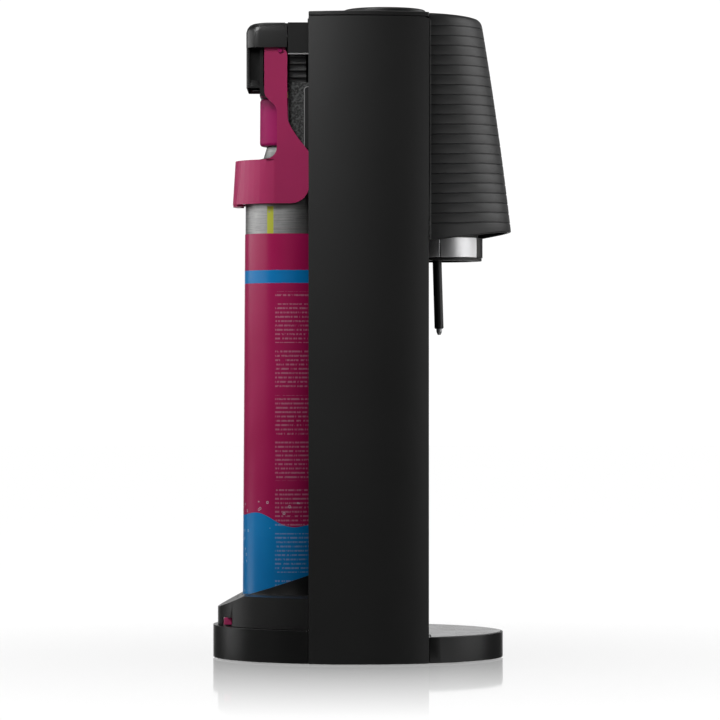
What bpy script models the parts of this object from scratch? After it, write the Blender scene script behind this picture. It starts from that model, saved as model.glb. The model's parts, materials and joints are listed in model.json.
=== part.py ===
"""Soda carbonator: oval base, panelled column, tapering head with a tilting bottle socket, and an open rear
bay that holds a gas cylinder under a lifting hood and handle.

Sizes are millimetres here and become metres when a mesh is made.  X runs to the front, Y to the machine's
left, Z up.  Shapes are drawn about the centre of the base.  The empty "machine" then moves that centre, so
that the whole object is centred over the origin.
"""
import math

import bmesh
import bpy
from mathutils import Matrix, Vector

MM = 0.001
GAP = 0.3                 # air left between touching pieces
FIT = 0.15                # radial clearance of a pin in its hole
WALL = 2.5                # wall of the moulded covers
WIDE = 150.0              # half width of a cutter that must clear the whole machine
ROUND = 48                # facets of a large round

# Base
BASE_A = 96.5             # half length of the base oval
BASE_B = 85.0             # half width of the base oval
BASE_BOTTOM = 0.8
BASE_FRONT_TOP = 17.5
BASE_REAR_TOP = 22.3
TRAY_LOW = 8.6            # underside of the drip tub
TUB_TOP = 15.8
PLATE_TOP = 17.8          # top of the loose drip plate
PLATE_Z = 1.5             # underside of the base plate
FOOT_R = 8.0
FOOT_X = 62.0
FOOT_Y = 38.0
SCREW_X = FOOT_X * 0.55

# Column
COLUMN_A = BASE_A + 1.0
COLUMN_B = BASE_B + 1.0
COLUMN_REAR = -32.0
COLUMN_FRONT = 46.0
PANEL_TOP = 420.0
LID_TOP = 423.2

# Bottle side
BOTTLE_X = 53.0           # axis of the bottle, its pocket and its socket
POCKET_R = 48.0
HEAD_X = 30.0             # centre of the head's oval sections
HEAD_TOP = 423.5
HEAD_TIP_TOP = 83.0       # reach of the tip at the upper edge
HEAD_TIP_TOP_Z = HEAD_TOP - 5.5
HEAD_SLOPE = 0.1666       # how fast the tip moves forward on the way down
HEAD_CURVE = 1.934e-4     # and how much it bows outwards
HEAD_TIP_DROP = 135.3     # height from the upper edge down to the tip of the rim
HEAD_HALF_TOP = 72.0
HEAD_HALF_GROW = 6.0
HEAD_RIM_REAR = 274.7
HEAD_RIM_FRONT = 282.7
FLOOR_Z = 286.0           # underside of the head's floor
FLOOR_T = 2.2
PIVOT_Z = 300.0           # tilt axis of the bottle socket
COLLAR_R = 30.0           # snap collar; the cradle's ears, pins and brackets stand outside it
COLLAR_LOW = 265.7
COLLAR_HIGH = 279.0
SOCKET_R = 18.5
TUBE_R = 3.05
TUBE_LOW = 218.7
TUBE_LEAN = math.radians(1.7)
TIP_R = 1.9
TIP_LOW = 214.7

# Button
BUTTON_X = 17.6
BUTTON_R = 27.6
BUTTON_TOP = 431.0
STEM_R = 6.0
BRIDGE_Z = 398.0
LEVER_X = -30.0
LEVER_Z = 394.0
LEVER_LOW = 391.8
LEVER_HIGH = 396.4
PLUNGER_X = -18.0

# Rear bay
CYL_R = 29.7              # gas cylinder; the channel, seat, handle and hood are sized round it
CYL_X = -46.9             # axis of the cylinder at its foot
CYL_LOW = 28.0
CYL_LEAN = math.radians(0.35)
SLEEVE_T = 0.25
SLEEVE_TOP = 281.3
SHOULDER_Z = 301.0
NECK_Z = 332.0
CAP_LOW = 340.0
CAP_HIGH = 371.3
CAP_R = CYL_R - 9.3
NECK_R = CYL_R - 11.3
CHANNEL_X = -46.3
CHANNEL_R = CYL_R + 3.3
SEAT_A = BASE_A - 3.1
SEAT_B = BASE_B - 4.0
SEAT_TOP = 43.0
SEAT_R = CYL_R + 1.3
TIP_PIVOT_Z = 41.0        # height at which the cylinder tips over the seat's rear edge
HINGE_X = -49.0           # hood hinge
HINGE_Z = 417.6
HINGE_PIN_R = 1.2
BARREL_R = 2.2
PLATE_IN = CYL_R + 1.9    # handle side plates, measured from the middle plane
PLATE_OUT = PLATE_IN + 3.0
HOOD_TOP = 419.8
HOOD_HALF = PLATE_OUT + WALL + 0.4
BARREL_HALF = HOOD_HALF - 6.5
HOOD_PIN_HALF = HOOD_HALF - 1.2
HOOD_REAR = -73.7
HOOD_FRONT = -46.7
HOOD_LOW = 403.5
HOOD_CORNER = 9.0
LEG_LOW = 377.3
LEG_FRONT = -62.6
LEG_HALF = PLATE_IN - 3.1
LEG_POCKET = 8.0
SKIRT_LOW = 371.8
SKIRT_FRONT = -59.4
SHROUD_LOW = 399.6
COLLAR_FLARE = 1.8        # how far the collar's lower edge leans out at the rear
HANDLE_LOW = 301.0
HANDLE_RING_TOP = 330.0
BLOCK_LOW = 381.7
BLOCK_HIGH = 388.0
BONNET_TOP = 406.0
BLOCK_HALF = 14.0
HOUSING_HALF = PLATE_IN - 1.1
HOUSING_LOW = 337.0
HOUSING_TOP = 381.0
FASCIA_WINDOW = 62.0      # half width of the opening behind the head
CHASSIS_HALF = 60.0
DECK_Z = 371.7


def head_tip(z):
    """Front of the head at height z: a line that bows slightly outwards."""
    drop = HEAD_TIP_TOP_Z - z
    return HEAD_TIP_TOP + HEAD_SLOPE * drop - HEAD_CURVE * drop * drop


# The head's tip reaches further forward than the base does, so the middle of the machine is not the base's
SHIFT_X = -(head_tip(HEAD_RIM_FRONT) - BASE_A) / 2

COLOURS = {
    "black": ((0.018, 0.018, 0.019), 0.38, 0.0),
    "black_gloss": ((0.010, 0.010, 0.011), 0.20, 0.0),
    "magenta": ((0.42, 0.03, 0.13), 0.35, 0.0),
    "label": ((0.45, 0.02, 0.15), 0.30, 0.0),
    "aluminium": ((0.62, 0.62, 0.60), 0.32, 1.0),
    "steel": ((0.60, 0.60, 0.61), 0.25, 1.0),
    "brass": ((0.70, 0.52, 0.22), 0.30, 1.0),
    "rubber": ((0.02, 0.02, 0.02), 0.80, 0.0),
    "frame": ((0.08, 0.08, 0.085), 0.50, 0.0),
    "grey": ((0.12, 0.12, 0.12), 0.45, 0.0),
}


def clear_scene():
    for thing in list(bpy.data.objects):
        bpy.data.objects.remove(thing, do_unlink=True)


def material(name):
    found = bpy.data.materials.get(name)
    if found:
        return found
    made = bpy.data.materials.new(name)
    made.use_nodes = True
    shader = made.node_tree.nodes["Principled BSDF"]
    colour, roughness, metallic = COLOURS[name]
    shader.inputs["Base Color"].default_value = (*colour, 1.0)
    shader.inputs["Roughness"].default_value = roughness
    shader.inputs["Metallic"].default_value = metallic
    return made


def from_bmesh(name, bm, finish, smooth=True):
    bmesh.ops.recalc_face_normals(bm, faces=bm.faces)
    mesh = bpy.data.meshes.new(name)
    bm.to_mesh(mesh)
    bm.free()
    if smooth:
        mesh.shade_smooth()
        mesh.set_sharp_from_angle(angle=math.radians(35))
    piece = bpy.data.objects.new(name, mesh)
    bpy.context.scene.collection.objects.link(piece)
    piece.parent = MACHINE
    if finish:
        mesh.materials.append(material(finish))
    return piece


def arc(cx, cy, rx, ry, start, stop, steps):
    """Points of an oval arc, angles in degrees."""
    points = []
    for i in range(steps + 1):
        a = math.radians(start + (stop - start) * i / steps)
        points.append((cx + rx * math.cos(a), cy + ry * math.sin(a)))
    return points


def oval(cx, cy, rx, ry, steps=ROUND):
    return arc(cx, cy, rx, ry, 0, 360, steps)[:-1]


def loft(name, rings, finish=None):
    """A closed body through rings of equally many points, each point (x, y, z)."""
    bm = bmesh.new()
    rows = [[bm.verts.new(Vector(p) * MM) for p in ring] for ring in rings]
    count = len(rows[0])
    for low, high in zip(rows, rows[1:]):
        for i in range(count):
            j = (i + 1) % count
            bm.faces.new((low[i], low[j], high[j], high[i]))
    bm.faces.new(list(reversed(rows[0])))
    bm.faces.new(rows[-1])
    return from_bmesh(name, bm, finish)


def prism(name, outline, z0, z1, finish=None):
    """A plan outline raised from z0 to z1."""
    return loft(name, [[(x, y, z) for x, y in outline] for z in (z0, z1)], finish)


def side_prism(name, profile, y0, y1, finish=None):
    """A side profile of (x, z) points carried across from y0 to y1."""
    return loft(name, [[(x, y, z) for x, z in profile] for y in (y0, y1)], finish)


def cross_prism(name, section, x0, x1, finish=None):
    """A cross section of (y, z) points carried forward from x0 to x1."""
    return loft(name, [[(x, y, z) for y, z in section] for x in (x0, x1)], finish)


def box(name, low, high, finish=None):
    outline = [(low[0], low[1]), (high[0], low[1]), (high[0], high[1]), (low[0], high[1])]
    return prism(name, outline, low[2], high[2], finish)


def turned(name, profile, centre=(0, 0), finish=None, steps=ROUND, closed=False):
    """A turned body about a vertical axis.  profile is (radius, z), closed=True for a ring section."""
    bm = bmesh.new()
    rows = []
    for radius, z in profile:
        if radius <= 0:
            rows.append([bm.verts.new(Vector((centre[0], centre[1], z)) * MM)])
        else:
            ring = oval(centre[0], centre[1], radius, radius, steps)
            rows.append([bm.verts.new(Vector((x, y, z)) * MM) for x, y in ring])
    pairs = list(zip(rows, rows[1:]))
    if closed:
        pairs.append((rows[-1], rows[0]))
    for low, high in pairs:
        for i in range(steps):
            j = (i + 1) % steps
            if len(low) == 1:
                bm.faces.new((low[0], high[j], high[i]))
            elif len(high) == 1:
                bm.faces.new((low[i], low[j], high[0]))
            else:
                bm.faces.new((low[i], low[j], high[j], high[i]))
    return from_bmesh(name, bm, finish)


def disc(name, r, z0, z1, centre, finish=None, steps=24):
    return turned(name, [(0, z0), (r, z0), (r, z1), (0, z1)], centre, finish, steps)


def ring(name, r_in, r_out, z0, z1, centre, finish=None, steps=ROUND):
    section = [(r_in, z0), (r_out, z0), (r_out, z1), (r_in, z1)]
    return turned(name, section, centre, finish, steps, closed=True)


def cross_rod(name, r, y0, y1, x, z, finish=None, steps=16):
    """A round rod along Y."""
    return side_prism(name, oval(x, z, r, r, steps), y0, y1, finish)


def boolean(piece, tool, operation):
    step = piece.modifiers.new(operation.lower() + "_" + tool.name, "BOOLEAN")
    step.operation = operation
    step.object = tool
    step.solver = "EXACT"
    tool.hide_render = True
    tool.display_type = "WIRE"


def cut(piece, *tools):
    for tool in tools:
        boolean(piece, tool, "DIFFERENCE")


def fuse(piece, *tools):
    for tool in tools:
        boolean(piece, tool, "UNION")


def turn_about(piece, pivot, angle):
    """Leans a mesh about a Y axis through pivot; a positive angle leans its top forward."""
    centre = Matrix.Translation(Vector(pivot) * MM)
    piece.data.transform(centre @ Matrix.Rotation(angle, 4, "Y") @ centre.inverted())


def on_axis(pivot, *pieces):
    """Puts each piece's origin on its joint's axis and leaves its shape where it was."""
    place = Vector(pivot) * MM
    for piece in pieces:
        piece.data.transform(Matrix.Translation(-place))
        piece.location = place


def oval_y(a, b, x):
    return b * math.sqrt(1 - (x / a) ** 2)


def column_arc(inset, x0, x1, side, steps=14):
    """Points on one flank of the column's oval, moved inwards by inset, from x0 to x1."""
    a = COLUMN_A - inset
    b = COLUMN_B - inset
    start = math.acos(x0 / a)
    stop = math.acos(x1 / a)
    points = []
    for i in range(steps + 1):
        t = start + (stop - start) * i / steps
        points.append((a * math.cos(t), side * b * math.sin(t)))
    return points


# ------------------------------------------------------------------ base

def make_base():
    shell = prism("base_shell", oval(0, 0, BASE_A, BASE_B, 64), BASE_BOTTOM, BASE_REAR_TOP, "black")
    front_step = box("step_tool", (COLUMN_FRONT - 1, -WIDE, BASE_FRONT_TOP), (WIDE, WIDE, 40))
    pocket = disc("pocket_tool", POCKET_R + GAP, BASE_FRONT_TOP, 40, (BOTTLE_X, 0), steps=ROUND)
    tray_well = prism("well_tool", tray_outline(0.0), TRAY_LOW - GAP, 40)
    hollow = prism("hollow_tool", oval(0, 0, BASE_A - 3, BASE_B - 4.6, 64), -5, TRAY_LOW - GAP - WALL)
    rear_hollow = prism("rear_hollow_tool", arc(0, 0, BASE_A - 4, BASE_B - 5.6, 100, 260, 24), 2,
                        BASE_REAR_TOP - WALL)
    cut(shell, front_step, pocket, tray_well, hollow, rear_hollow)
    for side in (1, -1):
        inner = column_arc(WALL + GAP, COLUMN_REAR - GAP, COLUMN_FRONT + GAP, side)
        outer = column_arc(-6, COLUMN_REAR - GAP, COLUMN_FRONT + GAP, side)
        cut(shell, prism(f"flank_tool_{side}", inner + outer[::-1], -5, 40))
    prism("base_plate", oval(0, 0, BASE_A - 3 - GAP * 2, BASE_B - 5.4), PLATE_Z, PLATE_Z + 1.8, "frame")
    spots = [(x, y) for x in (-FOOT_X, FOOT_X) for y in (-FOOT_Y, FOOT_Y)]
    for number, (x, y) in enumerate(spots, 1):
        disc(f"foot_{number}", FOOT_R, 0, PLATE_Z - GAP, (x, y), "rubber")
        spot = (math.copysign(SCREW_X, x), y)
        disc(f"base_screw_{number}", 3.0, 0.9, PLATE_Z - GAP / 2, spot, "steel", 12)


def tray_outline(inset):
    """The drip tray's plan: the base oval in front, the bottle pocket's round behind."""
    a = BASE_A - 1.2 - inset
    b = BASE_B - 1.2 - inset
    r = POCKET_R - 0.6 - inset
    x_meet = COLUMN_FRONT + 0.9 + inset
    front = math.degrees(math.acos(x_meet / a))
    back = math.degrees(math.acos((x_meet - BOTTLE_X) / r))
    points = arc(0, 0, a, b, -front, front, 30)
    return points + arc(BOTTLE_X, 0, r, r, back, 360 - back, 26)


def make_tray():
    tub = prism("drip_tub", tray_outline(GAP), TRAY_LOW, TUB_TOP, "black")
    cut(tub, prism("tub_tool", tray_outline(GAP + 2.0), TRAY_LOW + 2.0, 30))
    prism("drip_plate", tray_outline(GAP), TUB_TOP + GAP, PLATE_TOP, "grey")


def make_seat():
    """The rear seat: a low block, a cradle wall with a sloping top, and a slot for the cover catch."""
    reach = math.degrees(math.acos((COLUMN_REAR - GAP) / SEAT_A))
    plan = arc(0, 0, SEAT_A, SEAT_B, reach, 360 - reach, 40)
    seat = prism("cylinder_seat", plan, BASE_REAR_TOP + GAP, SEAT_TOP, "black")
    rear = -SEAT_A
    slope = [(rear - 6.6, 30.8), (rear + 14.7, 41.0), (rear + 20.9, SEAT_TOP + 1.2), (rear + 20.9, 80),
             (rear - 6.6, 80)]
    cut(seat, side_prism("slope_tool", slope, -WIDE, WIDE))
    wall = ring("cradle_wall", SEAT_R - 2, SEAT_R + 3.2, 30, 56.5, (CYL_X, 0))
    slope = [(-95, 35.4), (-32, 56.0), (0, 66), (0, 90), (-95, 90)]
    cut(wall, side_prism("wall_slope_tool", slope, -60, 60))
    cut(wall, box("wall_front_tool", (COLUMN_REAR - GAP, -60, 0), (20, 60, 90)))
    fuse(seat, wall)
    cut(seat, disc("seat_pocket_tool", SEAT_R, CYL_LOW - GAP, 90, (CYL_X, 0), steps=ROUND))
    cut(seat, box("catch_slot_tool", (rear + 3.6, -60, 0), (rear + 10.8, 60, 28.1)))
    box("cover_catch", (rear + 5.1, -31.0, 23.2), (rear + 10.5, 31.0, 27.8), "magenta")


# ---------------------------------------------------------------- column

def make_column():
    for side, name in ((1, "left"), (-1, "right")):
        outer = column_arc(0, COLUMN_REAR, COLUMN_FRONT, side)
        inner = column_arc(WALL, COLUMN_REAR, COLUMN_FRONT, side)
        prism(f"side_panel_{name}", outer + inner[::-1], BASE_BOTTOM, PANEL_TOP, "black")
    edge = WALL + GAP
    face = oval_y(COLUMN_A - edge, COLUMN_B - edge, COLUMN_FRONT) - 0.2
    turn = math.degrees(math.acos((COLUMN_FRONT - BOTTLE_X) / POCKET_R))
    skin = arc(BOTTLE_X, 0, POCKET_R, POCKET_R, turn, 360 - turn, 30)
    back = POCKET_R + WALL
    turn = math.degrees(math.acos((COLUMN_FRONT - WALL - BOTTLE_X) / back))
    skin_back = arc(BOTTLE_X, 0, back, back, turn, 360 - turn, 30)
    outline = [(COLUMN_FRONT, face)] + skin + [(COLUMN_FRONT, -face), (COLUMN_FRONT - WALL, -face)]
    outline += skin_back[::-1] + [(COLUMN_FRONT - WALL, face)]
    fascia = prism("front_fascia", outline, BASE_REAR_TOP + GAP, PANEL_TOP - GAP, "black")
    cut(fascia, box("fascia_window_tool", (0, -FASCIA_WINDOW, FLOOR_Z - GAP), (60, FASCIA_WINDOW, 500)))
    face = oval_y(COLUMN_A - edge, COLUMN_B - edge, COLUMN_REAR) - 0.2
    turn = math.degrees(math.acos((COLUMN_REAR - CHANNEL_X) / CHANNEL_R))
    skin = arc(CHANNEL_X, 0, CHANNEL_R, CHANNEL_R, turn, -turn, 24)
    back = CHANNEL_R + WALL
    turn = math.degrees(math.acos((COLUMN_REAR + WALL - CHANNEL_X) / back))
    skin_back = arc(CHANNEL_X, 0, back, back, turn, -turn, 24)
    outline = [(COLUMN_REAR, face)] + skin + [(COLUMN_REAR, -face), (COLUMN_REAR + WALL, -face)]
    outline += skin_back[::-1] + [(COLUMN_REAR + WALL, face)]
    channel = prism("rear_channel", outline, BASE_REAR_TOP + GAP, PANEL_TOP - GAP, "black")
    half = HOUSING_HALF + 0.6
    cut(channel, box("mech_tool", (-60, -half, HOUSING_LOW - 0.5), (0, half, 500)))
    half = HOOD_HALF + GAP
    cut(channel, box("shroud_tool", (-60, -half, SHROUD_LOW - GAP), (0, half, 500)))
    web_rear = CHANNEL_X + CHANNEL_R + WALL + 2.8
    half = CHASSIS_HALF
    box("chassis_web", (web_rear, -half, BASE_REAR_TOP + GAP), (0, half, DECK_Z - GAP), "frame")
    box("chassis_deck", (-21.7, -half, DECK_Z), (-2, half, DECK_Z + 4), "frame")
    plan = column_arc(0, COLUMN_REAR, COLUMN_FRONT, 1) + column_arc(0, COLUMN_REAR, COLUMN_FRONT, -1)[::-1]
    lid = prism("top_cover", plan, PANEL_TOP + GAP, LID_TOP, "black")
    cut(lid, disc("lid_tool", BUTTON_R + GAP, 400, 440, (BUTTON_X, 0), steps=ROUND))
    fuse(lid, box("lid_tab", (-33.5, -12, PANEL_TOP + GAP), (-30, 12, 424.8)))


# ------------------------------------------------------------------ head

def head_ring(z, inset, top_inset=0.0):
    """One oval section of the head; inset moves it inwards."""
    a = head_tip(z) - HEAD_X - inset - top_inset
    drop = HEAD_TIP_TOP_Z - z
    b = HEAD_HALF_TOP + HEAD_HALF_GROW * drop / HEAD_TIP_DROP - inset - top_inset
    return [(x, y, z) for x, y in oval(HEAD_X, 0, a, b, 64)]


def make_head():
    levels = [262 + i * 26 for i in range(7)]
    rings = [head_ring(z, 0) for z in levels]
    rings += [head_ring(421.3, 0.2), head_ring(422.8, 0.9), head_ring(HEAD_TOP, 2.2)]
    cover = loft("head_cover", rings, "black")
    rings = [head_ring(z, WALL) for z in levels] + [head_ring(HEAD_TOP - WALL, WALL)]
    cut(cover, loft("head_core_tool", [head_ring(250, WALL)] + rings))
    cut(cover, box("head_rear_tool", (-60, -WIDE, 200), (COLUMN_FRONT + GAP, WIDE, 440)))
    slope = (HEAD_RIM_FRONT - HEAD_RIM_REAR) / (head_tip(HEAD_RIM_FRONT) - COLUMN_FRONT)
    low = [(40, HEAD_RIM_REAR - 6 * slope), (110, HEAD_RIM_REAR + 64 * slope), (110, 240), (40, 240)]
    cut(cover, side_prism("head_rim_tool", low, -WIDE, WIDE))
    floor = loft("head_floor", [head_ring(z, WALL + GAP) for z in (FLOOR_Z, FLOOR_Z + FLOOR_T)], "black")
    cut(floor, box("floor_rear_tool", (-60, -WIDE, 200), (COLUMN_FRONT + GAP, WIDE, 440)))
    rear_round = arc(BOTTLE_X, 0, POCKET_R + WALL, POCKET_R + WALL, 96, 264, 30)
    fuse(floor, prism("floor_round_tool", rear_round, FLOOR_Z, FLOOR_Z + FLOOR_T))
    window = oval(BOTTLE_X + 3, 0, COLLAR_R + 5, COLLAR_R + 3.5)
    cut(floor, prism("floor_window_tool", window, 250, 320))


def leaned_tube(name, r, z0, z1, finish=None):
    tube = disc(name, r, z0, z1, (BOTTLE_X - 0.3, 0), finish, 20)
    turn_about(tube, (BOTTLE_X - 0.3, 0, COLLAR_LOW - 2.7), -TUBE_LEAN)
    return tube


def make_cradle():
    """The tilting bottle socket with its snap collar, gasket, tube and nozzle."""
    x = BOTTLE_X
    r_out = COLLAR_R - 3
    socket_profile = [(0, 290), (SOCKET_R, 290), (SOCKET_R, 267), (r_out, 267), (r_out, 296), (0, 296)]
    socket = turned("bottle_socket", socket_profile, (x, 0), "black")
    pin_tools = []
    pins = []
    pin_r = 2.0
    pin_near = COLLAR_R - 2
    for side, name in ((1, "left"), (-1, "right")):
        near, far = sorted((side * (COLLAR_R - 8), side * (COLLAR_R + 1.8)))
        fuse(socket, box(f"ear_{name}", (x - 5, near, 291), (x + 5, far, PIVOT_Z + 5)))
        near, far = sorted((side * pin_near, side * (COLLAR_R + 6.3)))
        pins.append(cross_rod(f"cradle_pin_{name}", pin_r, near, far, x, PIVOT_Z, "steel"))
        near, far = sorted((side * (pin_near - GAP), side * (COLLAR_R + 20)))
        pin_tools.append(cross_rod(f"pin_tool_{name}", pin_r + FIT, near, far, x, PIVOT_Z))
        near, far = sorted((side * (COLLAR_R + 2.6), side * (COLLAR_R + 5.6)))
        arm = [(x - 7, 294), (x + 6, 294), (x + 6, 330), (GAP, 330), (GAP, 314), (x - 7, 314)]
        bracket = side_prism(f"cradle_bracket_{name}", arm, near, far, "frame")
        cut(bracket, pin_tools[-1])
    tube_tool = leaned_tube("tube_tool", TUBE_R + FIT, 230, 330)
    cut(socket, *pin_tools, tube_tool)
    gasket = ring("neck_gasket", 2, 16, 286.5, 290 - GAP, (x, 0), "rubber", 32)
    gasket_tool = leaned_tube("gasket_tool", TUBE_R + FIT, 232, 331)
    cut(gasket, gasket_tool)
    collar = ring("snap_collar", r_out + GAP, COLLAR_R, COLLAR_LOW, COLLAR_HIGH, (x, 0), "steel", 64)
    lip_in = COLLAR_R - 7.5
    lip = ring("collar_lip", lip_in, COLLAR_R - 0.6, COLLAR_LOW - 2, COLLAR_LOW - GAP, (x, 0), "black")
    tube = leaned_tube("carbonating_tube", TUBE_R, TUBE_LOW, 296.4, "black_gloss")
    tip = leaned_tube("nozzle_tip", TIP_R, TIP_LOW, TUBE_LOW - 0.1, "steel")
    fitting = disc("tube_fitting", 4.2, 296.9, 301.8, (x - 1.5, 0), "brass", 16)
    on_axis((x, 0, PIVOT_Z), socket, gasket, collar, lip, tube, tip, fitting, *pins)


# ---------------------------------------------------------------- button

def make_spring(name, radius, wire, z0, z1, turns, centre, finish):
    """A coil spring as one tube that follows a helix."""
    steps = 12
    sides = 6
    rings = []
    pitch = (z1 - z0 - 2 * wire) / turns
    for i in range(turns * steps + 1):
        a = 2 * math.pi * i / steps
        z = z0 + wire + pitch * i / steps
        loop = []
        for k in range(sides):
            b = 2 * math.pi * k / sides
            r = radius + wire * math.cos(b)
            loop.append((centre[0] + r * math.cos(a), centre[1] + r * math.sin(a), z + wire * math.sin(b)))
        rings.append(loop)
    return loft(name, rings, finish)


def make_button():
    spot = (BUTTON_X, 0)
    skirt_in = BUTTON_R - WALL
    roof = BUTTON_TOP - WALL
    profile = [(0, 397.0), (2.0, 397.0), (STEM_R, 402.0), (STEM_R, roof), (skirt_in, roof), (skirt_in, 418.5),
               (BUTTON_R, 418.5), (BUTTON_R, BUTTON_TOP - 1), (BUTTON_R - 1, BUTTON_TOP), (0, BUTTON_TOP)]
    button = turned("press_button", profile, spot, "black")
    guide = ring("button_guide", 13.5, 16, BRIDGE_Z, BRIDGE_Z + 14, spot, "frame", 32)
    fuse(guide, box("bridge_tool", (12, -70, BRIDGE_Z), (23.4, 70, BRIDGE_Z + 2.4)))
    fuse(guide, disc("cup_floor_tool", 15, BRIDGE_Z, BRIDGE_Z + 2.4, spot, steps=32))
    cut(guide, disc("stem_tool", STEM_R + 0.6, 380, 410, spot))
    make_spring("button_spring", 10, 0.6, BRIDGE_Z + 2.4 + GAP, roof - GAP, 5, spot, "steel")
    lever = box("valve_lever", (LEVER_X - 4, -6, LEVER_LOW), (BUTTON_X + 5, 6, LEVER_HIGH), "frame")
    pin_tool = cross_rod("lever_pin_tool", 1.5 + FIT, -30, 30, LEVER_X, LEVER_Z)
    cut(lever, pin_tool)
    cross_rod("lever_pin", 1.5, -12, 12, LEVER_X, LEVER_Z, "steel")
    plunger = disc("valve_plunger", 2.5, 384, LEVER_LOW - 2 * GAP, (PLUNGER_X, 0), "brass", 16)
    half = BLOCK_HALF
    block = box("gas_valve_block", (-54, -half, BLOCK_LOW), (-8, half, BLOCK_HIGH), "black")
    fuse(block, box("chin_tool", (-21.4, -half, DECK_Z + 4 + GAP), (-8, half, BLOCK_LOW + 1)))
    fuse(block, box("bonnet_tool", (-54, -half, BLOCK_HIGH - 1), (-37, half, BONNET_TOP)))
    for side in (1, -1):
        near, far = sorted((side * 7, side * 10.5))
        fuse(block, box(f"lug_tool_{side}", (LEVER_X - 4, near, BLOCK_HIGH - 1), (LEVER_X + 4, far, 397.6)))
    cut(block, pin_tool)
    cut(block, disc("plunger_tool", 2.5 + FIT, 382, 395, (PLUNGER_X, 0), steps=16))
    socket_tool = disc("inlet_tool", 3.0, 370, 386, (CYL_X + 2, 0), steps=16)
    cut(block, socket_tool)
    ring("inlet_seal", 3.2, 8, BLOCK_LOW - 1.6, BLOCK_LOW - GAP, (CYL_X + 2, 0), "rubber", 24)
    cross_rod("relief_valve", 3.6, half + GAP, HOUSING_HALF - 9.1, -40, 385, "brass")
    route = [(-8 + GAP, 379), (6, 379), (22, 371), (36, 355), (46, 336), (51, 318), (51.6, 306)]
    make_hose("gas_hose", route, 3.0, "rubber")
    on_axis((BUTTON_X, 0, BUTTON_TOP), button)
    on_axis((LEVER_X, 0, LEVER_Z), lever)
    on_axis((PLUNGER_X, 0, 384), plunger)


def make_hose(name, route, r, finish):
    """A hose in the middle plane along smoothed (x, z) route points."""
    points = []
    count = len(route)
    for i in range(count - 1):
        p0 = Vector(route[max(i - 1, 0)])
        p1 = Vector(route[i])
        p2 = Vector(route[i + 1])
        p3 = Vector(route[min(i + 2, count - 1)])
        for k in range(3):
            t = k / 3
            spot = 0.5 * (2 * p1 + (p2 - p0) * t + (2 * p0 - 5 * p1 + 4 * p2 - p3) * t * t
                          + (3 * p1 - p0 - 3 * p2 + p3) * t ** 3)
            points.append(spot)
    points.append(Vector(route[-1]))
    rings = []
    for i, spot in enumerate(points):
        run = points[min(i + 1, len(points) - 1)] - points[max(i - 1, 0)]
        run.normalize()
        across = Vector((-run.y, run.x))
        loop = []
        for k in range(10):
            a = 2 * math.pi * k / 10
            offset = across * (r * math.cos(a))
            loop.append((spot.x + offset.x, r * math.sin(a), spot.y + offset.y))
        rings.append(loop)
    return loft(name, rings, finish)


# ------------------------------------------------------------- rear bay

def make_cylinder():
    """The gas cylinder, leaning a little forward, with its printed sleeve, valve cap, core and pin."""
    r = CYL_R
    foot = [(0, 2), (16, 1.6), (21, 0), (r - 4.7, 0.8), (r - 1.3, 3.4), (r, 7)]
    profile = [(radius, CYL_LOW + rise) for radius, rise in foot] + [(r, SHOULDER_Z)]
    for i in range(1, 8):
        a = math.pi / 2 * i / 8
        radius = NECK_R + (r - NECK_R) * math.cos(a)
        profile.append((radius, SHOULDER_Z + (NECK_Z - SHOULDER_Z) * math.sin(a)))
    profile += [(NECK_R - 0.4, NECK_Z), (NECK_R - 2.7, CAP_LOW - GAP), (0, CAP_LOW - GAP)]
    body = turned("gas_cylinder", profile, (CYL_X, 0), "aluminium")
    r += 0.1
    sleeve = ring("cylinder_sleeve", r, r + SLEEVE_T, CYL_LOW + 8, SLEEVE_TOP, (CYL_X, 0), "label")
    profile = [(0, CAP_LOW), (CAP_R - 1, CAP_LOW), (CAP_R, CAP_LOW + 1.5), (CAP_R, CAP_HIGH - 1),
               (CAP_R - 1, CAP_HIGH), (0, CAP_HIGH)]
    cap = turned("cylinder_cap", profile, (CYL_X, 0), "magenta")
    core = disc("cylinder_valve", 7, CAP_HIGH + GAP, 376.5, (CYL_X, 0), "brass")
    pin = disc("valve_pin", 1.5, 376.5 + GAP, 378.8, (CYL_X, 0), "steel", 12)
    for piece in (body, sleeve, cap, core, pin):
        turn_about(piece, (CYL_X, 0, CYL_LOW), CYL_LEAN)
    on_axis((CYL_X - CYL_R - GAP, 0, TIP_PIVOT_Z), body, sleeve, cap, core, pin)


def rounded_plan(rear, front, half, radius, steps=6):
    """A plan with a straight front edge and two rounded rear corners."""
    left = arc(rear + radius, half - radius, radius, radius, 90, 180, steps)
    right = arc(rear + radius, radius - half, radius, radius, 180, 270, steps)
    return [(front, half)] + left + right + [(front, -half)]


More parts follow.
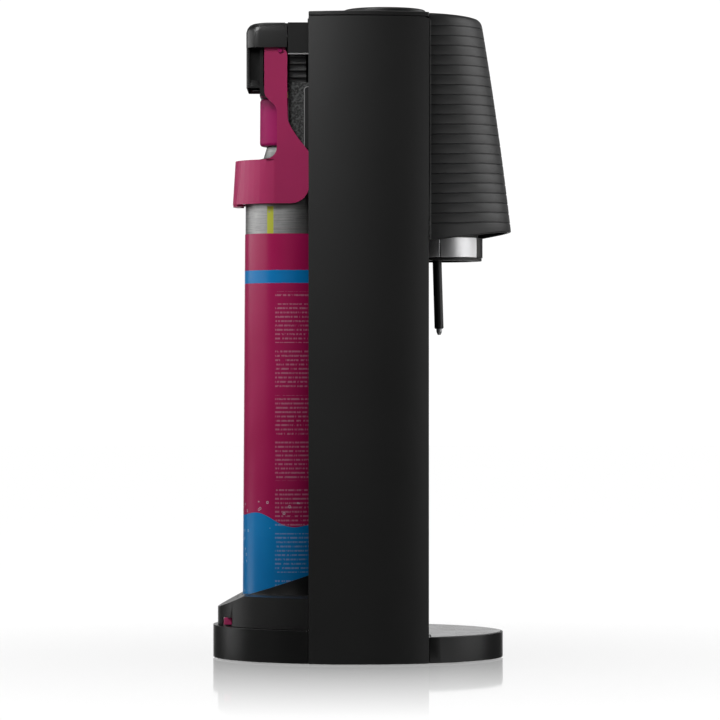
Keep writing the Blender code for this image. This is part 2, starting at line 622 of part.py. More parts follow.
def make_hood():
    rings = []
    for z, inset in ((HOOD_LOW, 0), (413.6, 0), (416.2, 0.8), (418.2, 2.4), (419.3, 4.6), (HOOD_TOP, 7.4)):
        plan = rounded_plan(HOOD_REAR + inset, HOOD_FRONT, HOOD_HALF - 0.25 * inset, HOOD_CORNER)
        rings.append([(x, y, z) for x, y in plan])
    hood = loft("hood_cap", rings, "black")
    core_rings = []
    for z, inset in ((390, 0), (413, 0), (HOOD_TOP - WALL, 5)):
        plan = rounded_plan(HOOD_REAR + WALL + inset, HOOD_FRONT + 5, HOOD_HALF - WALL, HOOD_CORNER - WALL)
        core_rings.append([(x, y, z) for x, y in plan])
    cut(hood, loft("hood_core_tool", core_rings))
    leg_plan = rounded_plan(HOOD_REAR + 0.05, LEG_FRONT, LEG_HALF, 1.8, 3)
    leg = prism("hood_leg", leg_plan, LEG_LOW, HOOD_LOW + 1.5)
    half = LEG_HALF
    fuse(leg, box("skirt_tool", (LEG_FRONT - 2.2, -half, SKIRT_LOW), (SKIRT_FRONT, half, LEG_LOW + 1)))
    for side in (1, -1):
        near, far = sorted((side * (LEG_HALF - LEG_POCKET), side * (LEG_HALF + 5)))
        low = (HOOD_REAR + 2.3, near, LEG_LOW + 1.8)
        cut(leg, box(f"leg_pocket_{side}", low, (LEG_FRONT - 2.2, far, HOOD_LOW)))
    fuse(hood, leg)
    corner = 1.5
    nose = [(HOOD_FRONT - corner, HOOD_TOP + 0.1), (HOOD_FRONT + 1, HOOD_TOP + 0.1),
            (HOOD_FRONT + 1, HOOD_TOP - corner - 1)]
    cut(hood, side_prism("hood_nose_tool", nose, -60, 60))
    half = BARREL_HALF + 0.5
    cut(hood, box("barrel_slot_tool", (HINGE_X - BARREL_R - 0.5, -half, 400), (-40, half, 430)))
    half = HOOD_PIN_HALF + GAP
    cut(hood, cross_rod("hood_pin_tool", HINGE_PIN_R + FIT, -half, half, HINGE_X, HINGE_Z, steps=12))
    half = HOOD_PIN_HALF
    cross_rod("hood_pin", HINGE_PIN_R, -half, half, HINGE_X, HINGE_Z, "steel", 12)
    far = HOOD_HALF
    near = HOOD_HALF - WALL
    section = [(-far, SHROUD_LOW), (-far, HOOD_TOP), (far, HOOD_TOP), (far, SHROUD_LOW), (near, SHROUD_LOW),
               (near, HOOD_TOP - 2), (-near, HOOD_TOP - 2), (-near, SHROUD_LOW)]
    shroud = cross_prism("hood_shroud", section, HOOD_FRONT + 0.6, -22, "black")
    half = BARREL_HALF
    barrel = cross_rod("barrel_tool", BARREL_R, -half, half, HINGE_X, HINGE_Z)
    tongue = box("tongue_tool", (HINGE_X, -half, HINGE_Z), (HOOD_FRONT + 3, half, HOOD_TOP))
    fuse(shroud, barrel, tongue)
    cut(shroud, cross_rod("shroud_pin_tool", HINGE_PIN_R + 0.05, -40, 40, HINGE_X, HINGE_Z, steps=12))
    handle, screws = make_handle()
    on_axis((HINGE_X, 0, HINGE_Z), hood, handle, *screws)


def make_handle():
    """The release handle: a U-shaped collar round the cylinder and two uprights into the hood."""
    ring_r = PLATE_OUT + 0.8
    rear_x = CYL_X + 0.6
    flank_x = -56.0
    turn = math.degrees(math.acos((flank_x - rear_x) / ring_r))
    bore = arc(rear_x, 0, PLATE_IN + 0.4, PLATE_IN + 0.4, 90, 270, 20)
    bore = [spot for spot in bore if spot[0] < flank_x + 5.5]
    inner = [(flank_x + 6, PLATE_IN)] + bore + [(flank_x + 6, -PLATE_IN)]
    rings = []
    for z, flare in ((HANDLE_LOW, COLLAR_FLARE), (HANDLE_RING_TOP, 0.0)):
        outer = arc(rear_x, 0, ring_r + flare, ring_r, turn, 360 - turn, 20)
        outer = [(flank_x + 6, PLATE_OUT)] + outer + [(flank_x + 6, -PLATE_OUT)]
        rings.append([(x, y, z) for x, y in outer + inner[::-1]])
    handle = loft("release_handle", rings, "magenta")
    front = COLUMN_REAR - GAP
    radius = 11.5
    profile = [(-61.7, 409.5), (-61.7, 374.5), (-61.3, 372.4), (-60.3, 370.9), (-54.7, 365.2), (-53.7, 363.2),
               (-53.4, 360.0), (-53.4, 338.0)]
    profile += arc(-61.4, 338.0, 8, 8, 0, -90, 5)[1:]
    profile += [(-66.0, 330.0), (-66.0, HANDLE_LOW)]
    profile += arc(front - radius, HANDLE_LOW + radius, radius, radius, -90, 0, 6)
    profile += [(front, 334.0), (-33.0, 335.9), (-39.0, 343.3), (-44.1, 350.9), (-46.0, 355.3), (-46.6, 361.0),
                (-46.6, 399.0), (-48.0, 403.0), (-48.0, 409.5)]
    plates = []
    for side, name in ((1, "left"), (-1, "right")):
        near, far = sorted((side * PLATE_IN, side * PLATE_OUT))
        plates.append(side_prism(f"plate_{name}", profile, near, far))
    rear_clip = box("plate_clip", (-80, -WIDE, 290), (flank_x + 1, WIDE, HANDLE_RING_TOP + 0.05))
    for plate in plates:
        cut(plate, rear_clip)
    fuse(handle, *plates)
    tab_in = PLATE_IN + 0.7
    plan = arc(rear_x, 0, ring_r + COLLAR_FLARE - 0.3, ring_r - 0.3, 158, 202, 8)
    plan += arc(rear_x, 0, tab_in, tab_in, 202, 158, 8)
    fuse(handle, prism("finger_tab", plan, HANDLE_LOW - 1.4, HANDLE_LOW + 2))
    screws = []
    for side, name in ((1, "left"), (-1, "right")):
        near, far = sorted((side * (PLATE_OUT + 0.25), side * (PLATE_OUT + 1.0)))
        screws.append(cross_rod(f"handle_screw_{name}", 1.6, near, far, -51.3, 401.5, "steel", 12))
    return handle, screws


def make_valve_housing():
    cheek = HOUSING_HALF
    plan = [(-46, -cheek), (-22, -cheek), (-22, cheek), (-46, cheek), (-46, cheek - 7), (-24.4, cheek - 7),
            (-24.4, -cheek + 7), (-46, -cheek + 7)]
    prism("valve_housing", plan, HOUSING_LOW, HOUSING_TOP, "grey")
    for side, name in ((1, "left"), (-1, "right")):
        near, far = sorted((side * (cheek - 7.5), side * cheek))
        low = HOUSING_TOP + GAP
        core = [(-45.0, low), (-34.3, low), (-34.3, SHROUD_LOW - GAP), (-45.0, SHROUD_LOW - GAP)]
        side_prism(f"ribbed_cheek_{name}", core, near, far, "black")


clear_scene()
MACHINE = bpy.data.objects.new("machine", None)
bpy.context.scene.collection.objects.link(MACHINE)
MACHINE.location.x = SHIFT_X * MM
make_base()
make_tray()
make_seat()
make_column()
make_head()
make_cradle()
make_button()
make_cylinder()
make_hood()
make_valve_housing()
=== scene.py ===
# %% [markdown]
# # A soda carbonator, from a working model to a finished one
#
# This lesson dresses a plain working model of a soda carbonator. The working model has the real pieces, sizes
# and joints. What it lacks is everything the eye enjoys: soft edges, ribs, grain, print and brushed metal. We
# build those here, one piece and one finish at a time, and never move what the working model holds.

# %% Load the working model
import json
import math

import bmesh
import bpy
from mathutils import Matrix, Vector

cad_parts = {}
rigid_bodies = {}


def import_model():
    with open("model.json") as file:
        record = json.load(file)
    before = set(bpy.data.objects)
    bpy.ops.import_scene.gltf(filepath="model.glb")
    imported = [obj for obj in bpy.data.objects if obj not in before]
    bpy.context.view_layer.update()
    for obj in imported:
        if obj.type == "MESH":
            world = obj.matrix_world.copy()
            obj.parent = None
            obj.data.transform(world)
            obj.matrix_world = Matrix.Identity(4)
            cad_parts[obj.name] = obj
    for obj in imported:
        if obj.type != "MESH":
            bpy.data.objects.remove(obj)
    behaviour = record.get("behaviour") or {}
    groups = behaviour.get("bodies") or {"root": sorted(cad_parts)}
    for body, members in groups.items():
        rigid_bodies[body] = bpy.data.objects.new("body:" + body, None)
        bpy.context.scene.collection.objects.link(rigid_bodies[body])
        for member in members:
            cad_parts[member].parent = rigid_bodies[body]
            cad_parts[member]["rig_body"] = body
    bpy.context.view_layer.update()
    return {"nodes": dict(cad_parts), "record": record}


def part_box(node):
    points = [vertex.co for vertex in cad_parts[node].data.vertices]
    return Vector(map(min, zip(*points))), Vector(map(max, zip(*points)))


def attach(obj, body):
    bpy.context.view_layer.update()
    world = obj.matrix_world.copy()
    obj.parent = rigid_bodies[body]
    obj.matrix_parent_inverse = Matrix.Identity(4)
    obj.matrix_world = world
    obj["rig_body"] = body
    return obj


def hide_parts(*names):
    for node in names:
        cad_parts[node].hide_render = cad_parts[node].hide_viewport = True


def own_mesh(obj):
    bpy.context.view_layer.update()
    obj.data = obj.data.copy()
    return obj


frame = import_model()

MM = 0.001
nodes = frame["nodes"]
node_slot = {part["node"]: part["material_slot"] for part in frame["record"]["subparts"]}
print("pieces in the working model:", len(nodes))

# %% [markdown]
# ## Where things are
#
# The base oval gives the middle of the machine and its half length, and the column and the head give the edges
# that other pieces meet. Typing these numbers in would be quicker, but then a change to the working model would
# leave our pieces behind. So we read them from the boxes of the working pieces.

# %% Measure the base, the head and the bay
base_low, base_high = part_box("base_shell")
MID_X = (base_low.x + base_high.x) / 2
BASE_A = (base_high.x - base_low.x) / 2
panel_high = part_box("side_panel_right")[1]
head_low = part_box("head_cover")[0]
column_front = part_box("front_fascia")[1].x
column_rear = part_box("rear_channel")[0].x
print("base half length (mm):", round(BASE_A / MM, 1), "column from", round(column_rear / MM, 1), "to",
      round(column_front / MM, 1))

# %% [markdown]
# ## A new piece, and soft edges
#
# Every piece starts as a bmesh, Blender's editable mesh. One function turns it into an object with smooth
# shading that stays crisp at real corners. Moulded plastic has no knife edges, so a Bevel modifier rounds them.
# Rounding each edge by hand would give the same shape, but a modifier can be changed later with one number.

# %% A new piece from a bmesh
def new_piece(name, bm, angle=35):
    bmesh.ops.recalc_face_normals(bm, faces=bm.faces)
    mesh = bpy.data.meshes.new(name)
    bm.to_mesh(mesh)
    bm.free()
    mesh.shade_smooth()
    mesh.set_sharp_from_angle(angle=math.radians(angle))
    piece = bpy.data.objects.new(name, mesh)
    bpy.context.scene.collection.objects.link(piece)
    return piece


def soften(piece, width, segments=2, angle=30):
    bevel = piece.modifiers.new("soft_edges", "BEVEL")
    bevel.width = width * MM
    bevel.segments = segments
    bevel.limit_method = "ANGLE"
    bevel.angle_limit = math.radians(angle)
    bevel.harden_normals = True
    bevel.use_clamp_overlap = True
    return piece


print("shape tools: new_piece, soften")

# %% [markdown]
# ## A softened copy of a working piece
#
# Many casings already have the right shape and size, and only need softer edges and a finish. We could draw them
# again, but a copy can't drift from the size of the real piece. The copy welds the doubled points that a saved
# model has and joins its flat triangles back into whole faces, because a bevel needs whole faces to follow.

# %% A softened copy of a working piece
def body_of(node):
    return nodes[node]["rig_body"]


def stand_for(piece, finish, *replaced):
    """Gives a piece its finish and its body, and hides the working pieces it stands for."""
    piece.data.materials.clear()
    piece.data.materials.append(finish)
    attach(piece, body_of(replaced[0]))
    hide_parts(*replaced)
    return piece


def add_to(piece, finish, node):
    """An extra piece that rides with a working piece, but replaces nothing."""
    piece.data.materials.clear()
    piece.data.materials.append(finish)
    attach(piece, body_of(node))
    return piece


FLAT_WITHIN = 1.0            # degrees between two triangles that belong to one flat face


def clean_copy(node, angle=35):
    bm = bmesh.new()
    bm.from_mesh(nodes[node].data)
    bmesh.ops.remove_doubles(bm, verts=bm.verts, dist=0.000002)
    bmesh.ops.dissolve_limit(bm, angle_limit=math.radians(FLAT_WITHIN), verts=bm.verts, edges=bm.edges)
    return new_piece(node + "_skin", bm, angle)


def dress(node, finish, width=0.5, segments=2, angle=35):
    piece = clean_copy(node, angle)
    soften(piece, width, segments)
    return stand_for(piece, finish, node)


print("copy tools: stand_for, add_to, clean_copy, dress")

# %% [markdown]
# ## Turned pieces and carried outlines
#
# A lathe makes a round piece from one profile, and a saw cuts a bar from one outline. These functions do the
# same: one spins a profile round an axis, and the other carries an outline straight along an axis. Both could be
# done with Blender's Spin and Extrude tools, but in code the corners land where the measures say.

# %% Turned pieces and carried outlines
def turned(name, profile, centre, steps=128, angle=35):
    """profile holds (radius, height) in millimetres; centre is in metres."""
    bm = bmesh.new()
    rows = []
    for radius, z in profile:
        row = []
        for i in range(steps if radius > 0 else 1):
            a = 2 * math.pi * i / steps
            row.append(bm.verts.new((centre[0] + radius * MM * math.cos(a),
                                     centre[1] + radius * MM * math.sin(a), z * MM)))
        rows.append(row)
    for low, high in zip(rows, rows[1:]):
        for i in range(steps):
            j = (i + 1) % steps
            corners = [low[i % len(low)], low[j % len(low)], high[j % len(high)], high[i % len(high)]]
            corners = [v for k, v in enumerate(corners) if v not in corners[:k]]
            bm.faces.new(corners)
    return new_piece(name, bm, angle)


def arc_points(cx, cy, radius, start, stop, steps):
    points = []
    for i in range(steps + 1):
        a = math.radians(start + (stop - start) * i / steps)
        points.append((cx + radius * math.cos(a), cy + radius * math.sin(a)))
    return points


def carried(name, outline, low, high, axis="z"):
    """An outline in metres, carried along z (outline is x, y) or along y (outline is x, z)."""
    bm = bmesh.new()
    rows = []
    for level in (low, high):
        spots = [(u, v, level) if axis == "z" else (u, level, v) for u, v in outline]
        rows.append([bm.verts.new(spot) for spot in spots])
    for i in range(len(outline)):
        j = (i + 1) % len(outline)
        bm.faces.new((rows[0][i], rows[0][j], rows[1][j], rows[1][i]))
    bm.faces.new(rows[0])
    bm.faces.new(rows[1])
    return new_piece(name, bm)


def block(name, low, high):
    outline = [(low[0], low[1]), (high[0], low[1]), (high[0], high[1]), (low[0], high[1])]
    return carried(name, outline, low[2], high[2])


print("drawing tools: turned, arc_points, carried, block")

# %% [markdown]
# ## Tools for finishes
#
# A finish is a small tree of nodes. It could be wired by hand in the Shader editor, but the same few nodes come
# back in every finish, so these helpers add a node, join two sockets and make the noise that every real surface
# has. Positions come from the Object output, in metres, because every piece sits at the origin.

# %% Node helpers
class Finish:
    """A material and its Principled shader, with short ways to add nodes."""

    def __init__(self, name, colour, roughness, metallic=0.0):
        self.material = bpy.data.materials.new(name)
        self.material.use_nodes = True
        self.tree = self.material.node_tree
        self.shader = self.tree.nodes["Principled BSDF"]
        self.set("Base Color", (*colour, 1.0))
        self.set("Roughness", roughness)
        self.set("Metallic", metallic)
        self.place = self.tree.nodes.new("ShaderNodeTexCoord").outputs["Object"]

    def set(self, socket, value):
        self.shader.inputs[socket].default_value = value

    def join(self, output, socket):
        self.tree.links.new(output, socket)

    def math(self, operation, a, b=0.0, c=0.0):
        node = self.tree.nodes.new("ShaderNodeMath")
        node.operation = operation
        for slot, value in zip(node.inputs, (a, b, c)):
            if isinstance(value, (int, float)):
                slot.default_value = value
            else:
                self.join(value, slot)
        return node.outputs[0]

    def noise(self, scale, detail=3.0, rough=0.5, stretch=None):
        node = self.tree.nodes.new("ShaderNodeTexNoise")
        node.inputs["Scale"].default_value = scale
        node.inputs["Detail"].default_value = detail
        node.inputs["Roughness"].default_value = rough
        self.join(self.stretched(stretch), node.inputs["Vector"])
        return node.outputs["Fac"]

    def stretched(self, stretch):
        if not stretch:
            return self.place
        mapping = self.tree.nodes.new("ShaderNodeMapping")
        mapping.inputs["Scale"].default_value = stretch
        self.join(self.place, mapping.inputs["Vector"])
        return mapping.outputs["Vector"]

    def cells(self, scale, feature="F1"):
        node = self.tree.nodes.new("ShaderNodeTexVoronoi")
        node.feature = feature
        node.inputs["Scale"].default_value = scale
        self.join(self.place, node.inputs["Vector"])
        return node.outputs["Distance"]

    def spread(self, value, low, high, start=0.0, stop=1.0):
        """Maps start..stop onto low..high."""
        node = self.tree.nodes.new("ShaderNodeMapRange")
        node.inputs["From Min"].default_value = start
        node.inputs["From Max"].default_value = stop
        node.inputs["To Min"].default_value = low
        node.inputs["To Max"].default_value = high
        self.join(value, node.inputs["Value"])
        return node.outputs["Result"]

    def mix(self, factor, a, b):
        node = self.tree.nodes.new("ShaderNodeMix")
        node.data_type = "RGBA"
        if isinstance(factor, (int, float)):
            node.inputs["Factor"].default_value = factor
        else:
            self.join(factor, node.inputs["Factor"])
        for slot, value in ((node.inputs[6], a), (node.inputs[7], b)):
            if isinstance(value, tuple):
                slot.default_value = (*value, 1.0)
            else:
                self.join(value, slot)
        return node.outputs[2]

    def bump(self, height, distance, strength=1.0):
        node = self.tree.nodes.new("ShaderNodeBump")
        node.inputs["Distance"].default_value = distance * MM
        node.inputs["Strength"].default_value = strength
        self.join(height, node.inputs["Height"])
        self.join(node.outputs["Normal"], self.shader.inputs["Normal"])
        return node.outputs["Normal"]


print("finish tools: a Finish holds one material and its shader")

# %% [markdown]
# ## Black moulded plastic
#
# The casing is black plastic with a fine spark-eroded grain: the mould is etched, so the plastic copies tiny
# pits of about 0.3 mm. Broad, faint differences in roughness come from hands and cloths. A picture of the grain
# could be wrapped on, but noise has no seams and works on every shape. A flat black would look like a hole, so
# the base colour also drifts a little.

# %% The black plastics
COOL = 1.03                  # black plastic leans slightly to blue


def black_plastic(name, shade, roughness, grain, depth, spread=0.05):
    finish = Finish(name, (shade, shade, shade * COOL), roughness)
    fine = finish.noise(1000 / grain, 2.0)
    broad = finish.noise(14.0, 4.0, 0.6)
    level = finish.math("MULTIPLY_ADD", fine, 0.5, finish.math("MULTIPLY", broad, 0.5))
    rough = finish.spread(level, roughness - spread, roughness + spread)
    finish.join(rough, finish.shader.inputs["Roughness"])
    colour = finish.mix(broad, (shade * 0.8,) * 3, (shade * 1.25,) * 3)
    finish.join(colour, finish.shader.inputs["Base Color"])
    finish.bump(fine, depth)
    finish.set("Specular IOR Level", 0.5)
    return finish.material


satin_black = black_plastic("satin_black", 0.009, 0.42, 0.35, 0.015)
panel_black = black_plastic("panel_black", 0.012, 0.43, 0.4, 0.015)
base_black = black_plastic("base_black", 0.004, 0.32, 0.3, 0.010)
seat_black = black_plastic("seat_black", 0.011, 0.36, 0.4, 0.012)
hood_black = black_plastic("hood_black", 0.006, 0.34, 0.4, 0.010)
gloss_black = black_plastic("gloss_black", 0.008, 0.20, 0.5, 0.004, 0.03)
frame_black = black_plastic("frame_black", 0.03, 0.55, 0.6, 0.03)
rib_black = black_plastic("rib_black", 0.055, 0.32, 0.3, 0.008)
# a pale grey that is painted highlight: it stands in for the thin lit lines under the hood and round the pads
painted_highlight_grey = black_plastic("painted_highlight_grey", 0.30, 0.30, 0.3, 0.006)
print("black plastics:", 9)

# %% [markdown]
# ## Coarse grain
#
# The valve's housing has a much coarser grain than the casing. Its peaks are polished by handling and look paler
# than its pits. Real bumps would need millions of faces, so the height goes into a bump and the same noise
# drives the colour and the roughness. All three then agree on where a peak is.

# %% The coarse grain
def grained_plastic():
    finish = Finish("grain_black", (0.03, 0.03, 0.03), 0.5)
    grain = finish.noise(620.0, 2.0, 0.6)
    peaks = finish.math("MULTIPLY", finish.math("SUBTRACT", grain, 0.42), 5.0)
    colour = finish.mix(peaks, (0.008, 0.008, 0.008), (0.085, 0.088, 0.086))
    finish.join(colour, finish.shader.inputs["Base Color"])
    finish.join(finish.spread(grain, 0.65, 0.35), finish.shader.inputs["Roughness"])
    finish.bump(grain, 0.30)
    return finish.material


grain_black = grained_plastic()
print("coarse grain:", grain_black.name)

# %% [markdown]
# ## Magenta plastic
#
# The parts that a hand has to find are magenta. It is a satin plastic with a little light scattering inside,
# so its shadows stay red. Plain red paint nodes would look hard, so we give it a low subsurface weight and the
# same fine grain as the casing. The handle, the valve cap and the cover catch are moulded separately, and each
# has its own batch of the colour.

# %% The magenta plastics
def magenta_plastic(name, colour, roughness, grain=0.5, shine=0.3):
    finish = Finish(name, colour, roughness)
    fine = finish.noise(1000 / grain, 2.0)
    broad = finish.noise(22.0, 4.0, 0.6)
    dark = tuple(c * 0.86 for c in colour)
    light = tuple(min(c * 1.12, 1.0) for c in colour)
    finish.join(finish.mix(broad, dark, light), finish.shader.inputs["Base Color"])
    finish.join(finish.spread(fine, roughness - 0.06, roughness + 0.06), finish.shader.inputs["Roughness"])
    finish.bump(fine, 0.012)
    finish.set("Specular IOR Level", shine)
    finish.set("Subsurface Weight", 0.05)
    finish.set("Subsurface Radius", (0.002, 0.0006, 0.0008))
    return finish.material


handle_magenta = magenta_plastic("handle_magenta", (0.43, 0.024, 0.118), 0.38)
cap_magenta = magenta_plastic("cap_magenta", (0.33, 0.006, 0.105), 0.52, 0.8, 0.15)
catch_magenta = magenta_plastic("catch_magenta", (0.72, 0.060, 0.22), 0.30)
print("magenta plastics:", 3)

# %% [markdown]
# ## Metals
#
# The snap collar is brushed round its rim, the cylinder is turned aluminium and the nozzle is polished. Turning
# and brushing both leave fine lines round the axis. An anisotropic shader could stretch the highlights, but it
# draws no lines. So the noise is squeezed in height and left long round the piece, and the lines go into
# roughness and a very low bump.

# %% The metals
def metal(name, colour, roughness, lines=(1.0, 1.0, 60.0), depth=0.004, scale=60.0):
    finish = Finish(name, colour, roughness, 1.0)
    streak = finish.noise(scale, 3.0, 0.7, lines)
    stain = finish.noise(35.0, 4.0, 0.6)
    finish.join(finish.spread(streak, roughness - 0.08, roughness + 0.12), finish.shader.inputs["Roughness"])
    dull = tuple(c * 0.80 for c in colour)
    finish.join(finish.mix(stain, colour, dull), finish.shader.inputs["Base Color"])
    finish.bump(streak, depth)
    return finish.material


brushed_steel = metal("brushed_steel", (0.86, 0.86, 0.87), 0.40)
plain_steel = metal("plain_steel", (0.62, 0.62, 0.63), 0.46)
turned_brass = metal("turned_brass", (0.72, 0.52, 0.22), 0.30)
print("metals:", 3)

# %% [markdown]
# ## Rubber
#
# Feet, seals and the hose are black rubber: no gloss, a slight bloom, and a grain that is coarser than the
# plastic's. The black plastic with more roughness would be close, but it has no bloom, the pale dust of old
# rubber. One noise gives the bloom to colour and roughness together.

# %% Rubber
def rubber():
    finish = Finish("black_rubber", (0.02, 0.02, 0.02), 0.8)
    bloom = finish.noise(60.0, 5.0, 0.65)
    colour = finish.mix(bloom, (0.012, 0.012, 0.012), (0.035, 0.034, 0.033))
    finish.join(colour, finish.shader.inputs["Base Color"])
    finish.join(finish.spread(bloom, 0.7, 0.95), finish.shader.inputs["Roughness"])
    finish.bump(finish.noise(900.0, 2.0), 0.03)
    return finish.material


black_rubber = rubber()
print("rubber:", black_rubber.name)

# %% [markdown]
# ## The turned aluminium cylinder and its gauge stripe
#
# Above its printed sleeve the gas cylinder shows a band of bare, turned aluminium. A narrow yellow-green stripe
# of paint runs up the band on each side. It could be a thin piece of its own, but paint has no thickness here.
# So the stripe is a rule in nodes: how far a point is from the stripe's middle, and how high it is.

# %% Aluminium with a painted stripe
cyl_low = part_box("gas_cylinder")[0]
sleeve_low, sleeve_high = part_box("cylinder_sleeve")
CYL_X = (sleeve_low.x + sleeve_high.x) / 2
STRIPE_X = -0.0118        # middle of the stripe, behind the cylinder's axis
STRIPE_HALF = 0.0021
STRIPE_TOP = 0.2715          # height of the stripe's end above the cylinder's foot
STRIPE_PAINT = (0.50, 0.52, 0.03)


def aluminium():
    finish = Finish("turned_aluminium", (0.60, 0.60, 0.58), 0.34, 1.0)
    streak = finish.noise(55.0, 4.0, 0.7, (1.0, 1.0, 70.0))
    stain = finish.noise(40.0, 5.0, 0.65)
    split = finish.tree.nodes.new("ShaderNodeSeparateXYZ")
    finish.join(finish.place, split.inputs[0])
    off = finish.math("ABSOLUTE", finish.math("SUBTRACT", split.outputs["X"], CYL_X + STRIPE_X))
    inside = finish.math("LESS_THAN", off, STRIPE_HALF)
    below = finish.math("LESS_THAN", split.outputs["Z"], cyl_low.z + STRIPE_TOP)
    worn = finish.math("GREATER_THAN", finish.noise(240.0, 4.0, 0.7), 0.36)
    paint = finish.math("MULTIPLY", finish.math("MULTIPLY", inside, below), worn)
    marks = finish.math("MULTIPLY_ADD", streak, 0.7, finish.math("MULTIPLY", stain, 0.5))
    metal_colour = finish.mix(finish.spread(marks, -0.6, 1.5), (0.58, 0.58, 0.57), (0.22, 0.22, 0.22))
    finish.join(finish.mix(paint, metal_colour, STRIPE_PAINT), finish.shader.inputs["Base Color"])
    finish.join(finish.math("SUBTRACT", 1.0, paint), finish.shader.inputs["Metallic"])
    finish.join(finish.spread(streak, 0.34, 0.56), finish.shader.inputs["Roughness"])
    finish.bump(streak, 0.006)
    return finish.material


turned_aluminium = aluminium()
print("stripe (mm wide):", round(2 * STRIPE_HALF / MM, 1))

# %% [markdown]
# ## The printed sleeve
#
# The sleeve is a thin printed film. Its ground is magenta, with a blue band near the top and blue water below a
# wavy line near the foot, with small bubbles. Blocks of fine print become rows of short pale dashes, which say
# nothing. A picture wrapped round the film would do the same, but it blurs up close. Angle round the cylinder
# and height are enough to place all of it, so we write each part as a rule.

# %% The print
WATER_TOP = 0.0925           # middle height of the wavy water line
WAVE = 0.0045                # height of the long wave
RIPPLE = 0.0016              # height of the short wave on it
BAND_Z = 0.2529              # middle height of the blue band
BAND_HALF = 0.0043
ROWS = 350.0                 # rows of dashes in a metre
ROW_SHARE = 0.40             # share of a row that is printed
BLOCKS = 33.0                # blocks of print in a metre
PRINT_TOP = 0.243
PRINT_FROM, PRINT_TO = 1.05, 1.86   # the column of print, as an angle from the front in radians
PRINT_STRENGTH = 0.26
FIZZ_TOP = 0.105


def printed_sleeve():
    finish = Finish("sleeve_print", (0.45, 0.012, 0.11), 0.34)
    tree = finish.tree
    split = tree.nodes.new("ShaderNodeSeparateXYZ")
    finish.join(finish.place, split.inputs[0])
    across = finish.math("SUBTRACT", split.outputs["X"], CYL_X)
    angle = finish.math("ARCTAN2", split.outputs["Y"], across)
    height = split.outputs["Z"]
    wave_phase = finish.math("MULTIPLY_ADD", angle, 2.0, 0.7)
    wave = finish.math("MULTIPLY", finish.math("SINE", wave_phase), WAVE)
    wave_fine = finish.math("MULTIPLY", finish.math("SINE", finish.math("MULTIPLY", angle, 5.0)), RIPPLE)
    water_line = finish.math("ADD", WATER_TOP, finish.math("ADD", wave, wave_fine))
    water = finish.math("LESS_THAN", height, water_line)
    from_band = finish.math("ABSOLUTE", finish.math("SUBTRACT", height, BAND_Z))
    band = finish.math("LESS_THAN", from_band, BAND_HALF)
    blue = finish.math("MAXIMUM", water, band)
    mottle = finish.noise(30.0, 4.0, 0.6)
    magenta = finish.mix(mottle, (0.37, 0.004, 0.073), (0.45, 0.009, 0.108))
    deep = finish.mix(mottle, (0.0, 0.17, 0.50), (0.0, 0.26, 0.62))
    ground = finish.mix(blue, magenta, deep)
    row = finish.math("FRACT", finish.math("MULTIPLY", height, ROWS))
    in_row = finish.math("LESS_THAN", row, ROW_SHARE)
    letters = finish.noise(1100.0, 1.0, 0.5, (1.0, 1.0, 0.15))
    dash = finish.math("GREATER_THAN", letters, 0.45)
    side = finish.math("ABSOLUTE", angle)
    in_column = finish.math("MULTIPLY", finish.math("GREATER_THAN", side, PRINT_FROM),
                            finish.math("LESS_THAN", side, PRINT_TO))
    blocks = finish.math("FRACT", finish.math("MULTIPLY_ADD", height, BLOCKS, 0.1))
    in_block = finish.math("MULTIPLY", finish.math("LESS_THAN", blocks, 0.86),
                           finish.math("LESS_THAN", height, PRINT_TOP))
    print_mask = finish.math("MULTIPLY", finish.math("MULTIPLY", in_row, dash),
                             finish.math("MULTIPLY", in_column, in_block))
    faint = finish.math("MULTIPLY", print_mask, PRINT_STRENGTH)
    printed = finish.mix(faint, ground, (0.80, 0.62, 0.72))
    bubble = finish.cells(170.0)
    fizz = finish.math("MULTIPLY", finish.math("LESS_THAN", bubble, 0.16),
                       finish.math("GREATER_THAN", bubble, 0.10))
    sparse = finish.math("GREATER_THAN", finish.noise(26.0, 2.0), 0.57)
    fizz = finish.math("MULTIPLY", finish.math("MULTIPLY", fizz, sparse),
                       finish.math("LESS_THAN", height, FIZZ_TOP))
    final = finish.mix(finish.math("MULTIPLY", fizz, 0.55), printed, (0.75, 0.88, 0.95))
    finish.join(final, finish.shader.inputs["Base Color"])
    finish.join(finish.spread(mottle, 0.24, 0.36), finish.shader.inputs["Roughness"])
    finish.bump(finish.noise(120.0, 3.0, 0.6), 0.02)
    finish.set("Specular IOR Level", 0.35)
    finish.set("Coat Weight", 0.12)
    finish.set("Coat Roughness", 0.2)
    return finish.material


sleeve_print = printed_sleeve()
print("sleeve: blue band at (mm)", round(BAND_Z / MM, 1))

# %% [markdown]
# ## The ribbed head
#
# The head tapers upwards and bows slightly outwards. Twenty-one fine grooves run round it and climb a little
# towards the front. Grooves made only in a material vanish at the outline, so these are real geometry: we draw
# the shell through many levels and pull the surface in by 0.42 mm at each groove.

# %% The head's measures
HEAD_X = MID_X + 30 * MM
TIP_UPPER = 0.418                       # height at which the tip's line is measured from
GROOVES = 21
GROOVE_FIRST = 0.4168
GROOVE_PITCH = 0.006405
GROOVE_DEPTH = 0.00042
GROOVE_HALF = 0.00042
CLIMB = 0.049                           # rise of a groove for each unit forward
SHELL = 0.0025
RIM_Z = 0.2827                          # height of the rim at the tip
RIM_CLIMB = (282.7 - 274.7) / 56.0      # the rim rises 8 mm over 56 mm forward
CROWN_Z = 0.4205                        # top of the shell's inside
INNER_LEVELS = 11


def head_reach(z):
    """From the head's middle to its tip, which bows outwards as it goes down."""
    drop = (TIP_UPPER - z) / MM
    return (83 - 30 + 0.1666 * drop - 1.934e-4 * drop * drop) * MM


def head_half(z):
    """Half the head's width, 6 mm more at the rim than at the top."""
    drop = (TIP_UPPER - z) / MM
    return (72 + 6 * drop / 135.3) * MM


